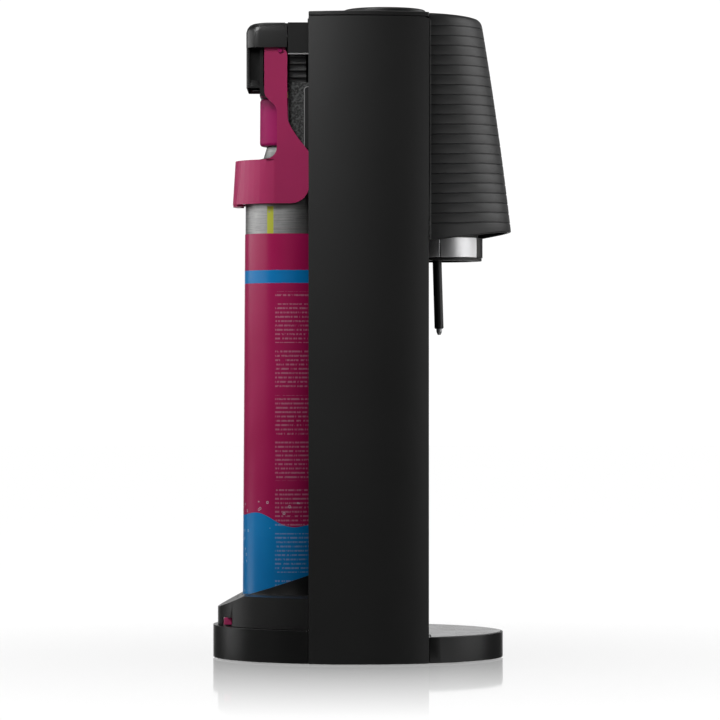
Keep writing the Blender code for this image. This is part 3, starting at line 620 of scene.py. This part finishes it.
print("head reaches (mm):", round(head_reach(RIM_Z) / MM, 1), "at the rim and",
      round(head_reach(TIP_UPPER) / MM, 1), "at the top")

# %% [markdown]
# ## Levels of the head
#
# A level is one line of points, from one rear edge round the front to the other. Each groove needs six levels:
# the plain surface, the start of the groove's side, its floor, and the same again going out. The crown ends in
# a few short levels that roll over, which a single bevel wouldn't do as softly.

# %% Levels of the head
def head_row(bm, tip_z, climb, inset, count=112):
    """One level of the shell, from one rear edge round the front to the other."""
    a = head_reach(tip_z) - inset
    b = head_half(tip_z) - inset
    limit = math.acos((head_low.x - HEAD_X) / a)
    row = []
    for i in range(count + 1):
        t = -limit + 2 * limit * i / count
        x = HEAD_X + a * math.cos(t)
        z = tip_z + climb * (x - (HEAD_X + a))
        row.append(bm.verts.new((x, b * math.sin(t), z)))
    return row


def head_levels():
    """(height at the tip, climb, inset) from the rim up to the crown."""
    levels = [(RIM_Z, RIM_CLIMB, 0.0011), (0.28285, RIM_CLIMB, 0.0005), (0.2833, RIM_CLIMB * 0.98, 0.00012),
              (0.2838, RIM_CLIMB * 0.97, 0.0)]
    lowest = GROOVE_FIRST - GROOVE_PITCH * (GROOVES - 1)
    levels.append((lowest - GROOVE_HALF * 2.6, CLIMB + 0.01, 0.0))
    for k in range(GROOVES):
        z = lowest + k * GROOVE_PITCH
        for step, depth in ((-1.5, 0.0), (-0.9, 0.10), (-0.3, 1.0), (0.3, 1.0), (0.9, 0.10), (1.5, 0.0)):
            levels.append((z + step * GROOVE_HALF, CLIMB, depth * GROOVE_DEPTH))
    levels += [(0.4195, CLIMB * 0.6, 0.0001), (0.4211, CLIMB * 0.35, 0.0003), (0.4224, CLIMB * 0.15, 0.0009),
               (0.4232, CLIMB * 0.05, 0.0017), (0.4235, 0.0, 0.0028)]
    return levels


print("levels in the head's outside:", len(head_levels()))

# %% [markdown]
# ## The head's shell and finish
#
# The outside and the inside are two skins, joined at the rim, the crown and the rear edges, so the shell is
# closed and has a real thickness. The plastic is brushed round the head in fine strokes. An image of strokes
# would show a seam, so the noise is squeezed in height instead.

# %% The head's shell and finish
def ribbed_head():
    bm = bmesh.new()
    outer = [head_row(bm, z, climb, inset) for z, climb, inset in head_levels()]
    inner = [head_row(bm, RIM_Z, RIM_CLIMB, SHELL)]
    for i in range(1, INNER_LEVELS + 1):
        share = i / INNER_LEVELS
        inner.append(head_row(bm, RIM_Z + (CROWN_Z - RIM_Z) * share, RIM_CLIMB * (1 - share), SHELL))
    for rows in (outer, inner):
        for low, high in zip(rows, rows[1:]):
            for i in range(len(low) - 1):
                bm.faces.new((low[i], low[i + 1], high[i + 1], high[i]))
    for i in range(len(outer[0]) - 1):
        bm.faces.new((outer[0][i], outer[0][i + 1], inner[0][i + 1], inner[0][i]))
    bm.faces.new(outer[-1])
    bm.faces.new(inner[-1])
    for end in (0, -1):
        bm.faces.new([row[end] for row in outer] + [row[end] for row in inner[::-1]])
    bm.faces.new((outer[-1][0], outer[-1][-1], inner[-1][-1], inner[-1][0]))
    return new_piece("ribbed_head", bm, 24)


def brushed_head():
    """Black plastic with fine strokes that run round the head with its grooves."""
    finish = Finish("head_black", (0.012, 0.012, 0.0124), 0.44)
    strokes = finish.noise(70.0, 4.0, 0.75, (1.0, 1.0, 22.0))
    fine = finish.noise(3000.0, 2.0)
    both = finish.math("MULTIPLY_ADD", strokes, 0.8, finish.math("MULTIPLY", fine, 0.2))
    colour = finish.mix(both, (0.006, 0.006, 0.0062), (0.019, 0.019, 0.0195))
    finish.join(colour, finish.shader.inputs["Base Color"])
    finish.join(finish.spread(strokes, 0.30, 0.58), finish.shader.inputs["Roughness"])
    finish.bump(both, 0.035)
    finish.set("Specular IOR Level", 0.42)
    return finish.material


head_black = brushed_head()
head = stand_for(ribbed_head(), head_black, "head_cover")
print("ribbed head faces:", len(head.data.polygons))

# %% [markdown]
# ## The bead round the head's rear edge
#
# Where the head meets the side panel, a thin rounded bead covers the joint and catches the light as one line.
# It could be part of the head, but its edges need a finer bevel. So it is a small bar of its own, drawn level by
# level along the head's rear edge.

# %% The bead round the head's rear edge
BEAD_WIDE = 0.0011
BEAD_PROUD = 0.0003
BEAD_SUNK = -0.0006          # how far its back lies inside the head
BEAD_FOOT = head_low.z + 0.0009
PANEL_TOP_Z = panel_high.z - 0.0012


def head_bead(outward, levels=28):
    """A thin rounded bead that covers the joint between the head and the side panel."""
    bm = bmesh.new()
    rows = []
    for i in range(levels + 1):
        z = BEAD_FOOT + (PANEL_TOP_Z - BEAD_FOOT) * i / levels
        row = []
        for x, proud in ((0.0001, BEAD_SUNK), (0.0001, BEAD_PROUD), (BEAD_WIDE, BEAD_PROUD),
                         (BEAD_WIDE, BEAD_SUNK)):
            spot = head_low.x + x
            y = head_half(z) * math.sqrt(1 - ((spot - HEAD_X) / head_reach(z)) ** 2) + proud
            row.append(bm.verts.new((spot, outward * y, z)))
        rows.append(row)
    for low, high in zip(rows, rows[1:]):
        for k in range(4):
            bm.faces.new((low[k], low[(k + 1) % 4], high[(k + 1) % 4], high[k]))
    bm.faces.new(rows[0])
    bm.faces.new(rows[-1])
    bead = soften(new_piece("head_bead", bm), 0.25, 3)
    add_to(bead, rib_black, "head_cover")


for outward in (-1, 1):
    head_bead(outward)
print("beads: one each side, up to (mm)", round(PANEL_TOP_Z / MM, 1))

# %% [markdown]
# ## Casing, base and lid
#
# Most of the casing is already right in shape and size, so each piece gets a softened copy rather than a new
# drawing. The cylinder's seat has the widest rounded edge, because a bottle of gas slides over it, and the small
# trims have the finest.

# %% Dress the casing
for node, finish, width in (("front_fascia", satin_black, 0.3), ("rear_channel", satin_black, 0.3),
                            ("top_cover", satin_black, 0.6), ("base_shell", base_black, 0.45),
                            ("cylinder_seat", seat_black, 1.3), ("press_button", satin_black, 0.7),
                            ("head_floor", satin_black, 0.2),
                            ("collar_lip", satin_black, 0.3), ("bottle_socket", satin_black, 0.3),
                            ("drip_tub", satin_black, 0.2)):
    dress(node, finish, width)
print("casing, base and lid are dressed")

# %% [markdown]
# ## The side panels
#
# The flanks are two oval shells, each with a rounded upper front corner. A copy has a sharp corner, and a bevel
# wide enough to round it would spoil the other edges. So we draw each panel again as cross-sections along its
# length, and lower the top over the last few millimetres.

# %% The side panels
PANEL_GAP = 0.001            # the panel stands this far outside the base's oval
PANEL_STEPS = 40
CORNER_STEPS = 8
PANEL_ROUND = 0.0034         # round of the panel's upper front corner
PANEL_WALL = 0.0025


def side_panel(node):
    """An oval flank whose upper front corner is rounded."""
    low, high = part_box(node)
    outward = 1 if high.y > 0 else -1
    far = max(abs(low.y), abs(high.y))
    oval = BASE_A + PANEL_GAP
    corner = high.x - PANEL_ROUND
    xs = [low.x + (corner - low.x) * i / PANEL_STEPS for i in range(PANEL_STEPS)]
    xs += [corner + PANEL_ROUND * math.sin(math.pi / 2 * i / CORNER_STEPS) for i in range(CORNER_STEPS + 1)]
    bm = bmesh.new()
    rows = []
    for x in xs:
        t = (x - MID_X) / oval
        outer = far * math.sqrt(1 - t * t)
        inner = (far - PANEL_WALL) * math.sqrt(1 - ((x - MID_X) / (oval - PANEL_WALL)) ** 2)
        drop = PANEL_ROUND - math.sqrt(max(PANEL_ROUND ** 2 - max(x - corner, 0) ** 2, 0))
        top = high.z - drop
        rows.append([bm.verts.new((x, outward * y, z)) for y, z in
                     ((outer, low.z), (outer, top), (inner, top), (inner, low.z))])
    for near, beyond in zip(rows, rows[1:]):
        for k in range(4):
            bm.faces.new((near[k], near[(k + 1) % 4], beyond[(k + 1) % 4], beyond[k]))
    bm.faces.new(rows[0])
    bm.faces.new(rows[-1])
    return new_piece(node + "_skin", bm)


for node in ("side_panel_left", "side_panel_right"):
    stand_for(soften(side_panel(node), 0.5, 3), panel_black, node)
print("side panels: 2, corner (mm)", round(PANEL_ROUND / MM, 1))

# %% [markdown]
# ## Hood and release handle
#
# The hood and the magenta handle lift together, and both are softened copies. The foot of the hood's leg is
# open on the real moulding. We could cut it with a boolean, but insetting the foot's face and pushing it up
# gives clean walls of one thickness with no cutter to keep.

# %% Dress the hood and handle
hood_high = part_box("hood_cap")[1]
LEG_LIP = 0.0013             # wall left round the hollow in the hood's rear leg
LEG_HOLLOW = 0.005           # how far the hollow goes up
FACES_DOWN = -0.99           # a face whose normal is below this faces the floor


def hollow_hood():
    """The hood's leg is a thin-walled moulding, so its foot is open."""
    copy = clean_copy("hood_cap")
    bm = bmesh.new()
    bm.from_mesh(copy.data)
    facing_down = [face for face in bm.faces if face.normal.z < FACES_DOWN]
    foot = min(facing_down, key=lambda face: face.calc_center_median().x)
    bmesh.ops.inset_region(bm, faces=[foot], thickness=LEG_LIP, depth=0, use_even_offset=True)
    for vert in foot.verts:
        vert.co.z += LEG_HOLLOW
    bm.to_mesh(copy.data)
    bm.free()
    copy.data.shade_smooth()
    copy.data.set_sharp_from_angle(angle=math.radians(35))
    print("the hood's leg is hollow for (mm):", LEG_HOLLOW / MM)
    return stand_for(soften(copy, 0.4, 3), hood_black, "hood_cap")


hollow_hood()
dress("hood_shroud", hood_black, 0.5)
dress("release_handle", handle_magenta, 0.9, 3)
dress("cover_catch", catch_magenta, 0.4)
dress("handle_screw_left", cap_magenta, 0.2)
dress("handle_screw_right", cap_magenta, 0.2)
print("hood, handle, catch and two screws are dressed")

# %% [markdown]
# ## Painted highlight strips under the hood
#
# The lower edge of the shroud beside the hood is a moulded lip that catches the light as a thin pale line. A
# light could be aimed to brighten the edge, but it would brighten its neighbours too. So a slim pale grey bar on
# each side paints that highlight in, and holds the line from every angle.

# %% Painted highlight strips under the hood
shroud_low, shroud_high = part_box("hood_shroud")
HIGHLIGHT_STRIP_HIGH = 0.0009                 # height of a painted highlight strip
HIGHLIGHT_STRIP_DEEP = 0.0024            # how far it reaches in from the shroud's side
HIGHLIGHT_STRIP_HOOD_GAP = 0.0008       # clear of the hood, which lifts
HIGHLIGHT_STRIP_COLUMN_GAP = 0.0004        # clear of the column


def painted_highlight_strips():
    """One bar painted pale grey as a highlight below each side of the shroud."""
    for outward in (-1, 1):
        low_y, high_y = sorted((outward * (shroud_high.y - HIGHLIGHT_STRIP_DEEP), outward * shroud_high.y))
        trim = block("shroud_highlight_strip", (hood_high.x + HIGHLIGHT_STRIP_HOOD_GAP, low_y, shroud_low.z - HIGHLIGHT_STRIP_HIGH),
                     (column_rear - HIGHLIGHT_STRIP_COLUMN_GAP, high_y, shroud_low.z + 0.00005))
        add_to(soften(trim, 0.3), painted_highlight_grey, "hood_shroud")


painted_highlight_strips()
print("lips: 2")

# %% [markdown]
# ## The valve housing and its ribbed cheeks
#
# Behind the column, the grained housing carries two cheeks, each with four ribs for a thumb and finger. Copying
# one rib with an Array modifier would work, but the ribs share their valleys. One saw-toothed outline, carried
# along the cheek, draws all four at once.

# %% Ribbed cheeks
RIBS = 4
RIB_DEEP = 0.0034            # from a rib's crest to the valley
RIB_ROLL = 0.0007            # how far a crest's edges fall away


def ribbed_cheek(node):
    low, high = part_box(node)
    outward = 1 if low.y > 0 else -1
    outer_y = high.y if outward > 0 else low.y
    inner_y = low.y if outward > 0 else high.y
    skin = outer_y - outward * RIB_DEEP
    pitch = (high.z - low.z) / RIBS
    profile = [(inner_y, low.z)]
    for k in range(RIBS):
        z = low.z + k * pitch
        profile += [(skin, z), (skin, z + pitch * 0.52), (outer_y - outward * RIB_ROLL, z + pitch * 0.55),
                    (outer_y, z + pitch * 0.66), (outer_y, z + pitch * 0.84),
                    (outer_y - outward * RIB_ROLL, z + pitch * 0.97)]
    profile += [(skin, high.z), (inner_y, high.z)]
    bm = bmesh.new()
    rows = [[bm.verts.new((x, y, z)) for y, z in profile] for x in (low.x, high.x)]
    for i in range(len(profile)):
        j = (i + 1) % len(profile)
        bm.faces.new((rows[0][i], rows[0][j], rows[1][j], rows[1][i]))
    bm.faces.new(rows[0])
    bm.faces.new(rows[1])
    return new_piece(node + "_ribs", bm)


for node in ("ribbed_cheek_left", "ribbed_cheek_right"):
    stand_for(soften(ribbed_cheek(node), 0.15), rib_black, node)
dress("valve_housing", grain_black, 0.6)
print("cheeks: 2, ribs on each:", RIBS)

# %% [markdown]
# ## Smooth pads on the housing
#
# On each side, a smooth pad with a rounded upper corner stands on the grained housing, close to the column. A
# thin highlight runs round its edge, and here it is painted. Painting a line would need measuring in the
# material, so we lay two thin plates on each other, and the larger pale grey one below shows as the lit rim.

# %% Smooth pads on the housing
housing_low, housing_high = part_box("valve_housing")
PAD_REACH = 0.0036           # how far a pad's rim stands out behind the column
PAD_ROUND = 0.0024
PAD_DROP = 0.0028            # from the housing's top down to the rim
RIM_WIDE = 0.0005


def housing_pad(name, outward, inset, proud, finish):
    """A raised pad with a rounded upper corner, tucked against the column."""
    rear = column_rear - PAD_REACH + inset
    round_r = PAD_ROUND - inset
    top = housing_high.z - PAD_DROP - inset
    low = housing_low.z + 0.0005
    outline = [(column_rear - 0.0002, low), (column_rear - 0.0002, top)]
    outline += arc_points(rear + round_r, top - round_r, round_r, 90, 180, 6) + [(rear, low)]
    face = outward * housing_high.y
    low_y, high_y = sorted((face - outward * 0.001, face + outward * proud))
    pad = carried(name, outline, low_y, high_y, "y")
    add_to(soften(pad, 0.1), finish, "valve_housing")


for outward in (-1, 1):
    # the pale rim plate is a painted highlight round the pad's edge
    housing_pad("pad_highlight_rim", outward, 0.0, 0.0005, painted_highlight_grey)
    housing_pad("pad_face", outward, RIM_WIDE, 0.0007, satin_black)

print("pads: 2, each a rim and a face")

# %% [markdown]
# ## The snap collar
#
# The snap collar grips the bottle's neck. It is a black ring with bright steel bands let into its rim, a black
# insert at the front and a fine seam at each side. One ring with painted seams would look flat, so the ring and
# each band are pieces, and the seams are real gaps between them.

# %% The snap collar
collar_low, collar_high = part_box("snap_collar")
COLLAR_X = (collar_low.x + collar_high.x) / 2
COLLAR_R = (collar_high.x - collar_low.x) / 2
INSERT = 31                  # half angle of the black insert at the front, in degrees
SEAM = 0.5                   # half angle of the seam on each side
SIDE = 88                    # where the seam is
BAND = 0.0012                # thickness of a band
INSERT_GAP = 0.6             # degrees between the insert and the next band


def sector(name, r_in, r_out, start, stop, low, high):
    steps = max(4, round(abs(stop - start) / 3))
    outline = arc_points(COLLAR_X, 0, r_out, start, stop, steps)
    outline += arc_points(COLLAR_X, 0, r_in, stop, start, steps)
    return carried(name, outline, low, high)


def snap_collar():
    """A black ring carries three bright bands, with a seam at each side and an open front."""
    low = collar_low.z
    high = collar_high.z
    inner = COLLAR_R - 0.0027
    core = sector("collar_core", inner, COLLAR_R - 0.0006, 0.0, 359.9, low + 0.0002, high - 0.0002)
    stand_for(core, satin_black, "snap_collar")
    half = INSERT - INSERT_GAP
    front = sector("collar_front", COLLAR_R - BAND, COLLAR_R, -half, half, low, high)
    add_to(soften(front, 0.25), satin_black, "snap_collar")
    for start, stop in ((INSERT, SIDE - SEAM), (SIDE + SEAM, 360 - SIDE - SEAM),
                        (360 - SIDE + SEAM, 360 - INSERT)):
        band = sector("collar_band", COLLAR_R - BAND, COLLAR_R, start, stop, low, high)
        add_to(soften(band, 0.3, 3), brushed_steel, "snap_collar")


snap_collar()
print("collar radius (mm):", round(COLLAR_R / MM, 1))

# %% [markdown]
# ## The tube and nozzle
#
# The gas goes down a thin black pipe and out through a small steel nozzle, which tapers to a rounded end with a
# fine bore. A nozzle is made on a lathe, so we turn it from a profile. The pipe is already round, and a softened
# copy is enough.

# %% The tube and nozzle
tip_low, tip_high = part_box("nozzle_tip")


def nozzle():
    """Straight above, tapered and rounded below, with a small bore."""
    radius = (tip_high.y - tip_low.y) / 2 / MM
    low = tip_low.z / MM
    high = tip_high.z / MM
    profile = [(0, low + 0.8), (0.45, low + 0.8), (0.45, low + 0.05), (0.8, low), (1.15, low + 0.3),
               (radius - 0.1, low + 1.9), (radius, low + 2.3), (radius, high), (0, high)]
    return turned("nozzle", profile, ((tip_low.x + tip_high.x) / 2, 0), 48)


stand_for(nozzle(), plain_steel, "nozzle_tip")
dress("carbonating_tube", satin_black, 0.9, 4)
print("nozzle bottom at (mm):", round(tip_low.z / MM, 1))

# %% [markdown]
# ## The drip plate
#
# The loose plate under the bottle has a fine all-over texture that hides water marks. Round pits pressed side by
# side could be cut as geometry, but there are thousands. Voronoi cells give the same packed pits as a bump.

# %% Dress the drip plate
def drip_texture():
    finish = Finish("drip_texture", (0.075, 0.075, 0.075), 0.24)
    pits = finish.cells(900.0, "SMOOTH_F1")
    rough = finish.spread(finish.noise(60.0, 4.0), 0.20, 0.32)
    finish.join(rough, finish.shader.inputs["Roughness"])
    finish.bump(pits, 0.05)
    finish.set("Specular IOR Level", 1.0)
    return finish.material


tray_grain = drip_texture()
dress("drip_plate", tray_grain, 0.4)
print("drip plate is dressed in", tray_grain.name)

# %% [markdown]
# ## The gas cylinder
#
# The cylinder, its sleeve and its cap are turned pieces, and the working ones are already round. Turning them
# again would change nothing that the eye sees, so we dress copies and let the finishes carry the print. The
# sleeve is a thin film, so its edge gets the smallest bevel.

# %% Dress the cylinder
dress("gas_cylinder", turned_aluminium, 0.2)
dress("cylinder_sleeve", sleeve_print, 0.08)
dress("cylinder_cap", cap_magenta, 0.6, 3)
print("printed sleeve ends at (mm):", round(sleeve_high.z / MM, 1))

# %% [markdown]
# ## The button's return spring
#
# A coil spring gets shorter as the button goes down, and its foot stays where it is. Left alone it would poke
# through the button, and moved as one it would leave its seat. Here the coil only gets a softened copy in steel
# with a mesh of its own; nothing shortens it.

# %% The spring's copy and its own mesh
spring = stand_for(clean_copy("button_spring"), plain_steel, "button_spring")
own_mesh(spring)

# %% [markdown]
# ## Everything else
#
# The inner pieces are hidden in use and keep their working shape. Each gets the finish of what it is made of,
# looked up from its slot in the working model's record, so that no piece is left plain.

# %% Finishes for the carried-over pieces
slot_finish = {"black_shell": satin_black, "gloss_black": gloss_black, "textured_grey": grain_black,
               "magenta": handle_magenta, "sleeve": sleeve_print, "aluminium": turned_aluminium,
               "steel": plain_steel, "brass": turned_brass, "rubber": black_rubber, "frame": frame_black}
for name, node in nodes.items():
    node.data.materials.clear()
    node.data.materials.append(slot_finish[node_slot[name]])
print("pieces given a finish:", len(nodes))

# %% [markdown]
# ## The floor
#
# The machine stands on a pale, polished floor that mirrors it faintly and fades out into white. A plain glossy
# floor would show a horizon. So most of this one is clear, and lets the white surroundings through. Only its
# polish stays, and it dies away with distance from the machine.

# %% The floor
FLOOR_SHINE_NEAR = 0.085   # the polish is full up to this distance from the machine
FLOOR_SHINE_FAR = 0.50     # and gone by this one
FLOOR_BODY = 0.05          # share of the floor that is not clear


def floor():
    bm = bmesh.new()
    corners = [bm.verts.new((x, y, 0)) for x, y in ((-6, -6), (6, -6), (6, 9), (-6, 9))]
    bm.faces.new(corners)
    piece = new_piece("floor", bm)
    finish = Finish("pale_floor", (0.93, 0.93, 0.93), 0.6)
    finish.set("Specular IOR Level", 0.0)
    tree = finish.tree
    reach = tree.nodes.new("ShaderNodeVectorMath")
    reach.operation = "LENGTH"
    finish.join(finish.place, reach.inputs[0])
    fade = finish.spread(reach.outputs["Value"], 1.0, 0.0, FLOOR_SHINE_NEAR, FLOOR_SHINE_FAR)
    fresnel = tree.nodes.new("ShaderNodeFresnel")
    fresnel.inputs["IOR"].default_value = 1.42
    shine = tree.nodes.new("ShaderNodeBsdfGlossy")
    shine.inputs["Roughness"].default_value = 0.05
    shine.distribution = "MULTI_GGX"
    clear = tree.nodes.new("ShaderNodeBsdfTransparent")
    ground = tree.nodes.new("ShaderNodeMixShader")
    ground.inputs[0].default_value = FLOOR_BODY
    finish.join(clear.outputs[0], ground.inputs[1])
    finish.join(finish.shader.outputs[0], ground.inputs[2])
    whole = tree.nodes.new("ShaderNodeMixShader")
    finish.join(finish.math("MULTIPLY", fade, fresnel.outputs[0]), whole.inputs[0])
    finish.join(ground.outputs[0], whole.inputs[1])
    finish.join(shine.outputs[0], whole.inputs[2])
    finish.join(whole.outputs[0], tree.nodes["Material Output"].inputs["Surface"])
    piece.data.materials.append(finish.material)


floor()
print("floor polish fades out by (m):", FLOOR_SHINE_FAR)

# %% [markdown]
# ## The lights
#
# Black plastic shows its shape only through what it reflects, so each light is there for one surface: the key
# for the panels, one on each side for the rounded flanks, two low ones for the base, one for the collar, and
# broad ones in front and above to fill in. Bare lamps would leave small hard spots, so all are soft rectangles.

# %% The lights
def soft_light(name, place, target, size, brightness, spread):
    """A rectangular soft light; a spread below 180 degrees is a grid that narrows its beam."""
    light = bpy.data.lights.new(name, "AREA")
    light.shape = "RECTANGLE"
    light.size, light.size_y = size
    light.energy = brightness * math.pi * size[0] * size[1]
    light.spread = math.radians(spread)
    lamp = bpy.data.objects.new(name, light)
    lamp.location = place
    lamp.rotation_euler = (Vector(target) - Vector(place)).to_track_quat("-Z", "Y").to_euler()
    bpy.context.scene.collection.objects.link(lamp)
    return lamp


# name, place, aimed at, size, brightness and spread
LIGHTS = (("key", (-0.56, -0.76, 0.94), (-0.02, 0, 0.47), (0.34, 0.34), 2.15, 56),
          ("left", (-1.25, 0.08, 0.62), (0, 0, 0.32), (1.7, 0.65), 2.1, 180),
          ("front", (-0.4, -3.6, 1.4), (0, 0, 0.3), (2.2, 1.2), 0.7, 180),
          ("rim", (1.20, 0.50, 0.72), (0, 0, 0.35), (0.9, 0.8), 2.0, 180),
          ("collar", (1.20, -0.45, 0.26), (0.05, 0, 0.27), (0.9, 0.26), 3.2, 180),
          ("low_left", (-1.20, 0.42, -0.06), (-0.05, 0, 0.01), (0.6, 0.16), 1.5, 180),
          ("low_right", (1.20, 0.10, -0.06), (0.05, 0, 0.01), (0.6, 0.16), 1.7, 180),
          ("top", (0, 0.1, 1.7), (0, 0, 0.2), (1.2, 1.0), 2.0, 180))
for settings in LIGHTS:
    soft_light(*settings)
print("lights:", len(LIGHTS))

# %% [markdown]
# ## The surroundings
#
# The eye sees plain white behind the machine, but a white room would turn every black surface grey. The two can
# be told apart: the Light Path node knows which rays come from the camera. Those see white, and mirrored rays
# see a dim studio with one white screen behind, which brightens surfaces that are seen at a low angle.

# %% The surroundings
SEEN_WHITE = 1.05            # strength of the white that the camera sees
WHITE = (1, 1, 1, 1)


def ranged(tree, output, low, high, start, stop):
    """Maps start..stop of an output onto low..high, in the world's own tree."""
    node = tree.nodes.new("ShaderNodeMapRange")
    for socket, value in (("From Min", start), ("From Max", stop), ("To Min", low), ("To Max", high)):
        node.inputs[socket].default_value = value
    tree.links.new(output, node.inputs["Value"])
    return node.outputs["Result"]


def brighter(tree, a, b):
    node = tree.nodes.new("ShaderNodeMath")
    node.operation = "MAXIMUM"
    tree.links.new(a, node.inputs[0])
    tree.links.new(b, node.inputs[1])
    return node.outputs[0]


def surroundings():
    """White to the eye; to mirrors, a white screen behind, dim grey elsewhere, dark below the floor's line."""
    world = bpy.data.worlds.new("studio")
    world.use_nodes = True
    tree = world.node_tree
    seen = tree.nodes["Background"]
    seen.inputs["Strength"].default_value = SEEN_WHITE
    seen.inputs["Color"].default_value = WHITE
    mirrored = tree.nodes.new("ShaderNodeBackground")
    mirrored.inputs["Color"].default_value = WHITE
    split = tree.nodes.new("ShaderNodeSeparateXYZ")
    tree.links.new(tree.nodes.new("ShaderNodeTexCoord").outputs["Generated"], split.inputs[0])
    level = ranged(tree, split.outputs["Z"], 0.01, 0.065, -0.12, 0.10)
    screen = ranged(tree, split.outputs["Y"], 0.0, 1.06, 0.93, 0.98)
    below = ranged(tree, split.outputs["Z"], 0.0, 0.45, -0.45, -0.80)
    strength = brighter(tree, brighter(tree, level, below), screen)
    tree.links.new(strength, mirrored.inputs["Strength"])
    path = tree.nodes.new("ShaderNodeLightPath")
    choice = tree.nodes.new("ShaderNodeMixShader")
    tree.links.new(path.outputs["Is Camera Ray"], choice.inputs[0])
    tree.links.new(mirrored.outputs[0], choice.inputs[1])
    tree.links.new(seen.outputs[0], choice.inputs[2])
    tree.links.new(choice.outputs[0], tree.nodes["World Output"].inputs["Surface"])
    bpy.context.scene.world = world


bpy.context.scene.view_settings.view_transform = "Standard"
surroundings()
print("surroundings:", bpy.context.scene.world.name)

# %% [markdown]
# ## The camera
#
# The camera looks level from the machine's right side. A short lens close by would bend the upright edges
# towards each other, so a long lens stands well back. Tilting the camera to frame the machine would do the same
# harm, so a small shift slides the frame instead.

# %% The camera
CAMERA_AWAY = 2.7
CAMERA_HIGH = 0.1833
camera_data = bpy.data.cameras.new("camera")
camera_data.lens = 202.5
camera_data.sensor_width = 36
camera_data.shift_y = 22 / 720
camera_data.clip_end = 60
camera = bpy.data.objects.new("camera", camera_data)
camera.location = (MID_X + 0.0013, -CAMERA_AWAY, CAMERA_HIGH)
camera.rotation_euler = (math.radians(90), 0, 0)
bpy.context.scene.collection.objects.link(camera)
bpy.context.scene.camera = camera
print("camera lens:", camera_data.lens)
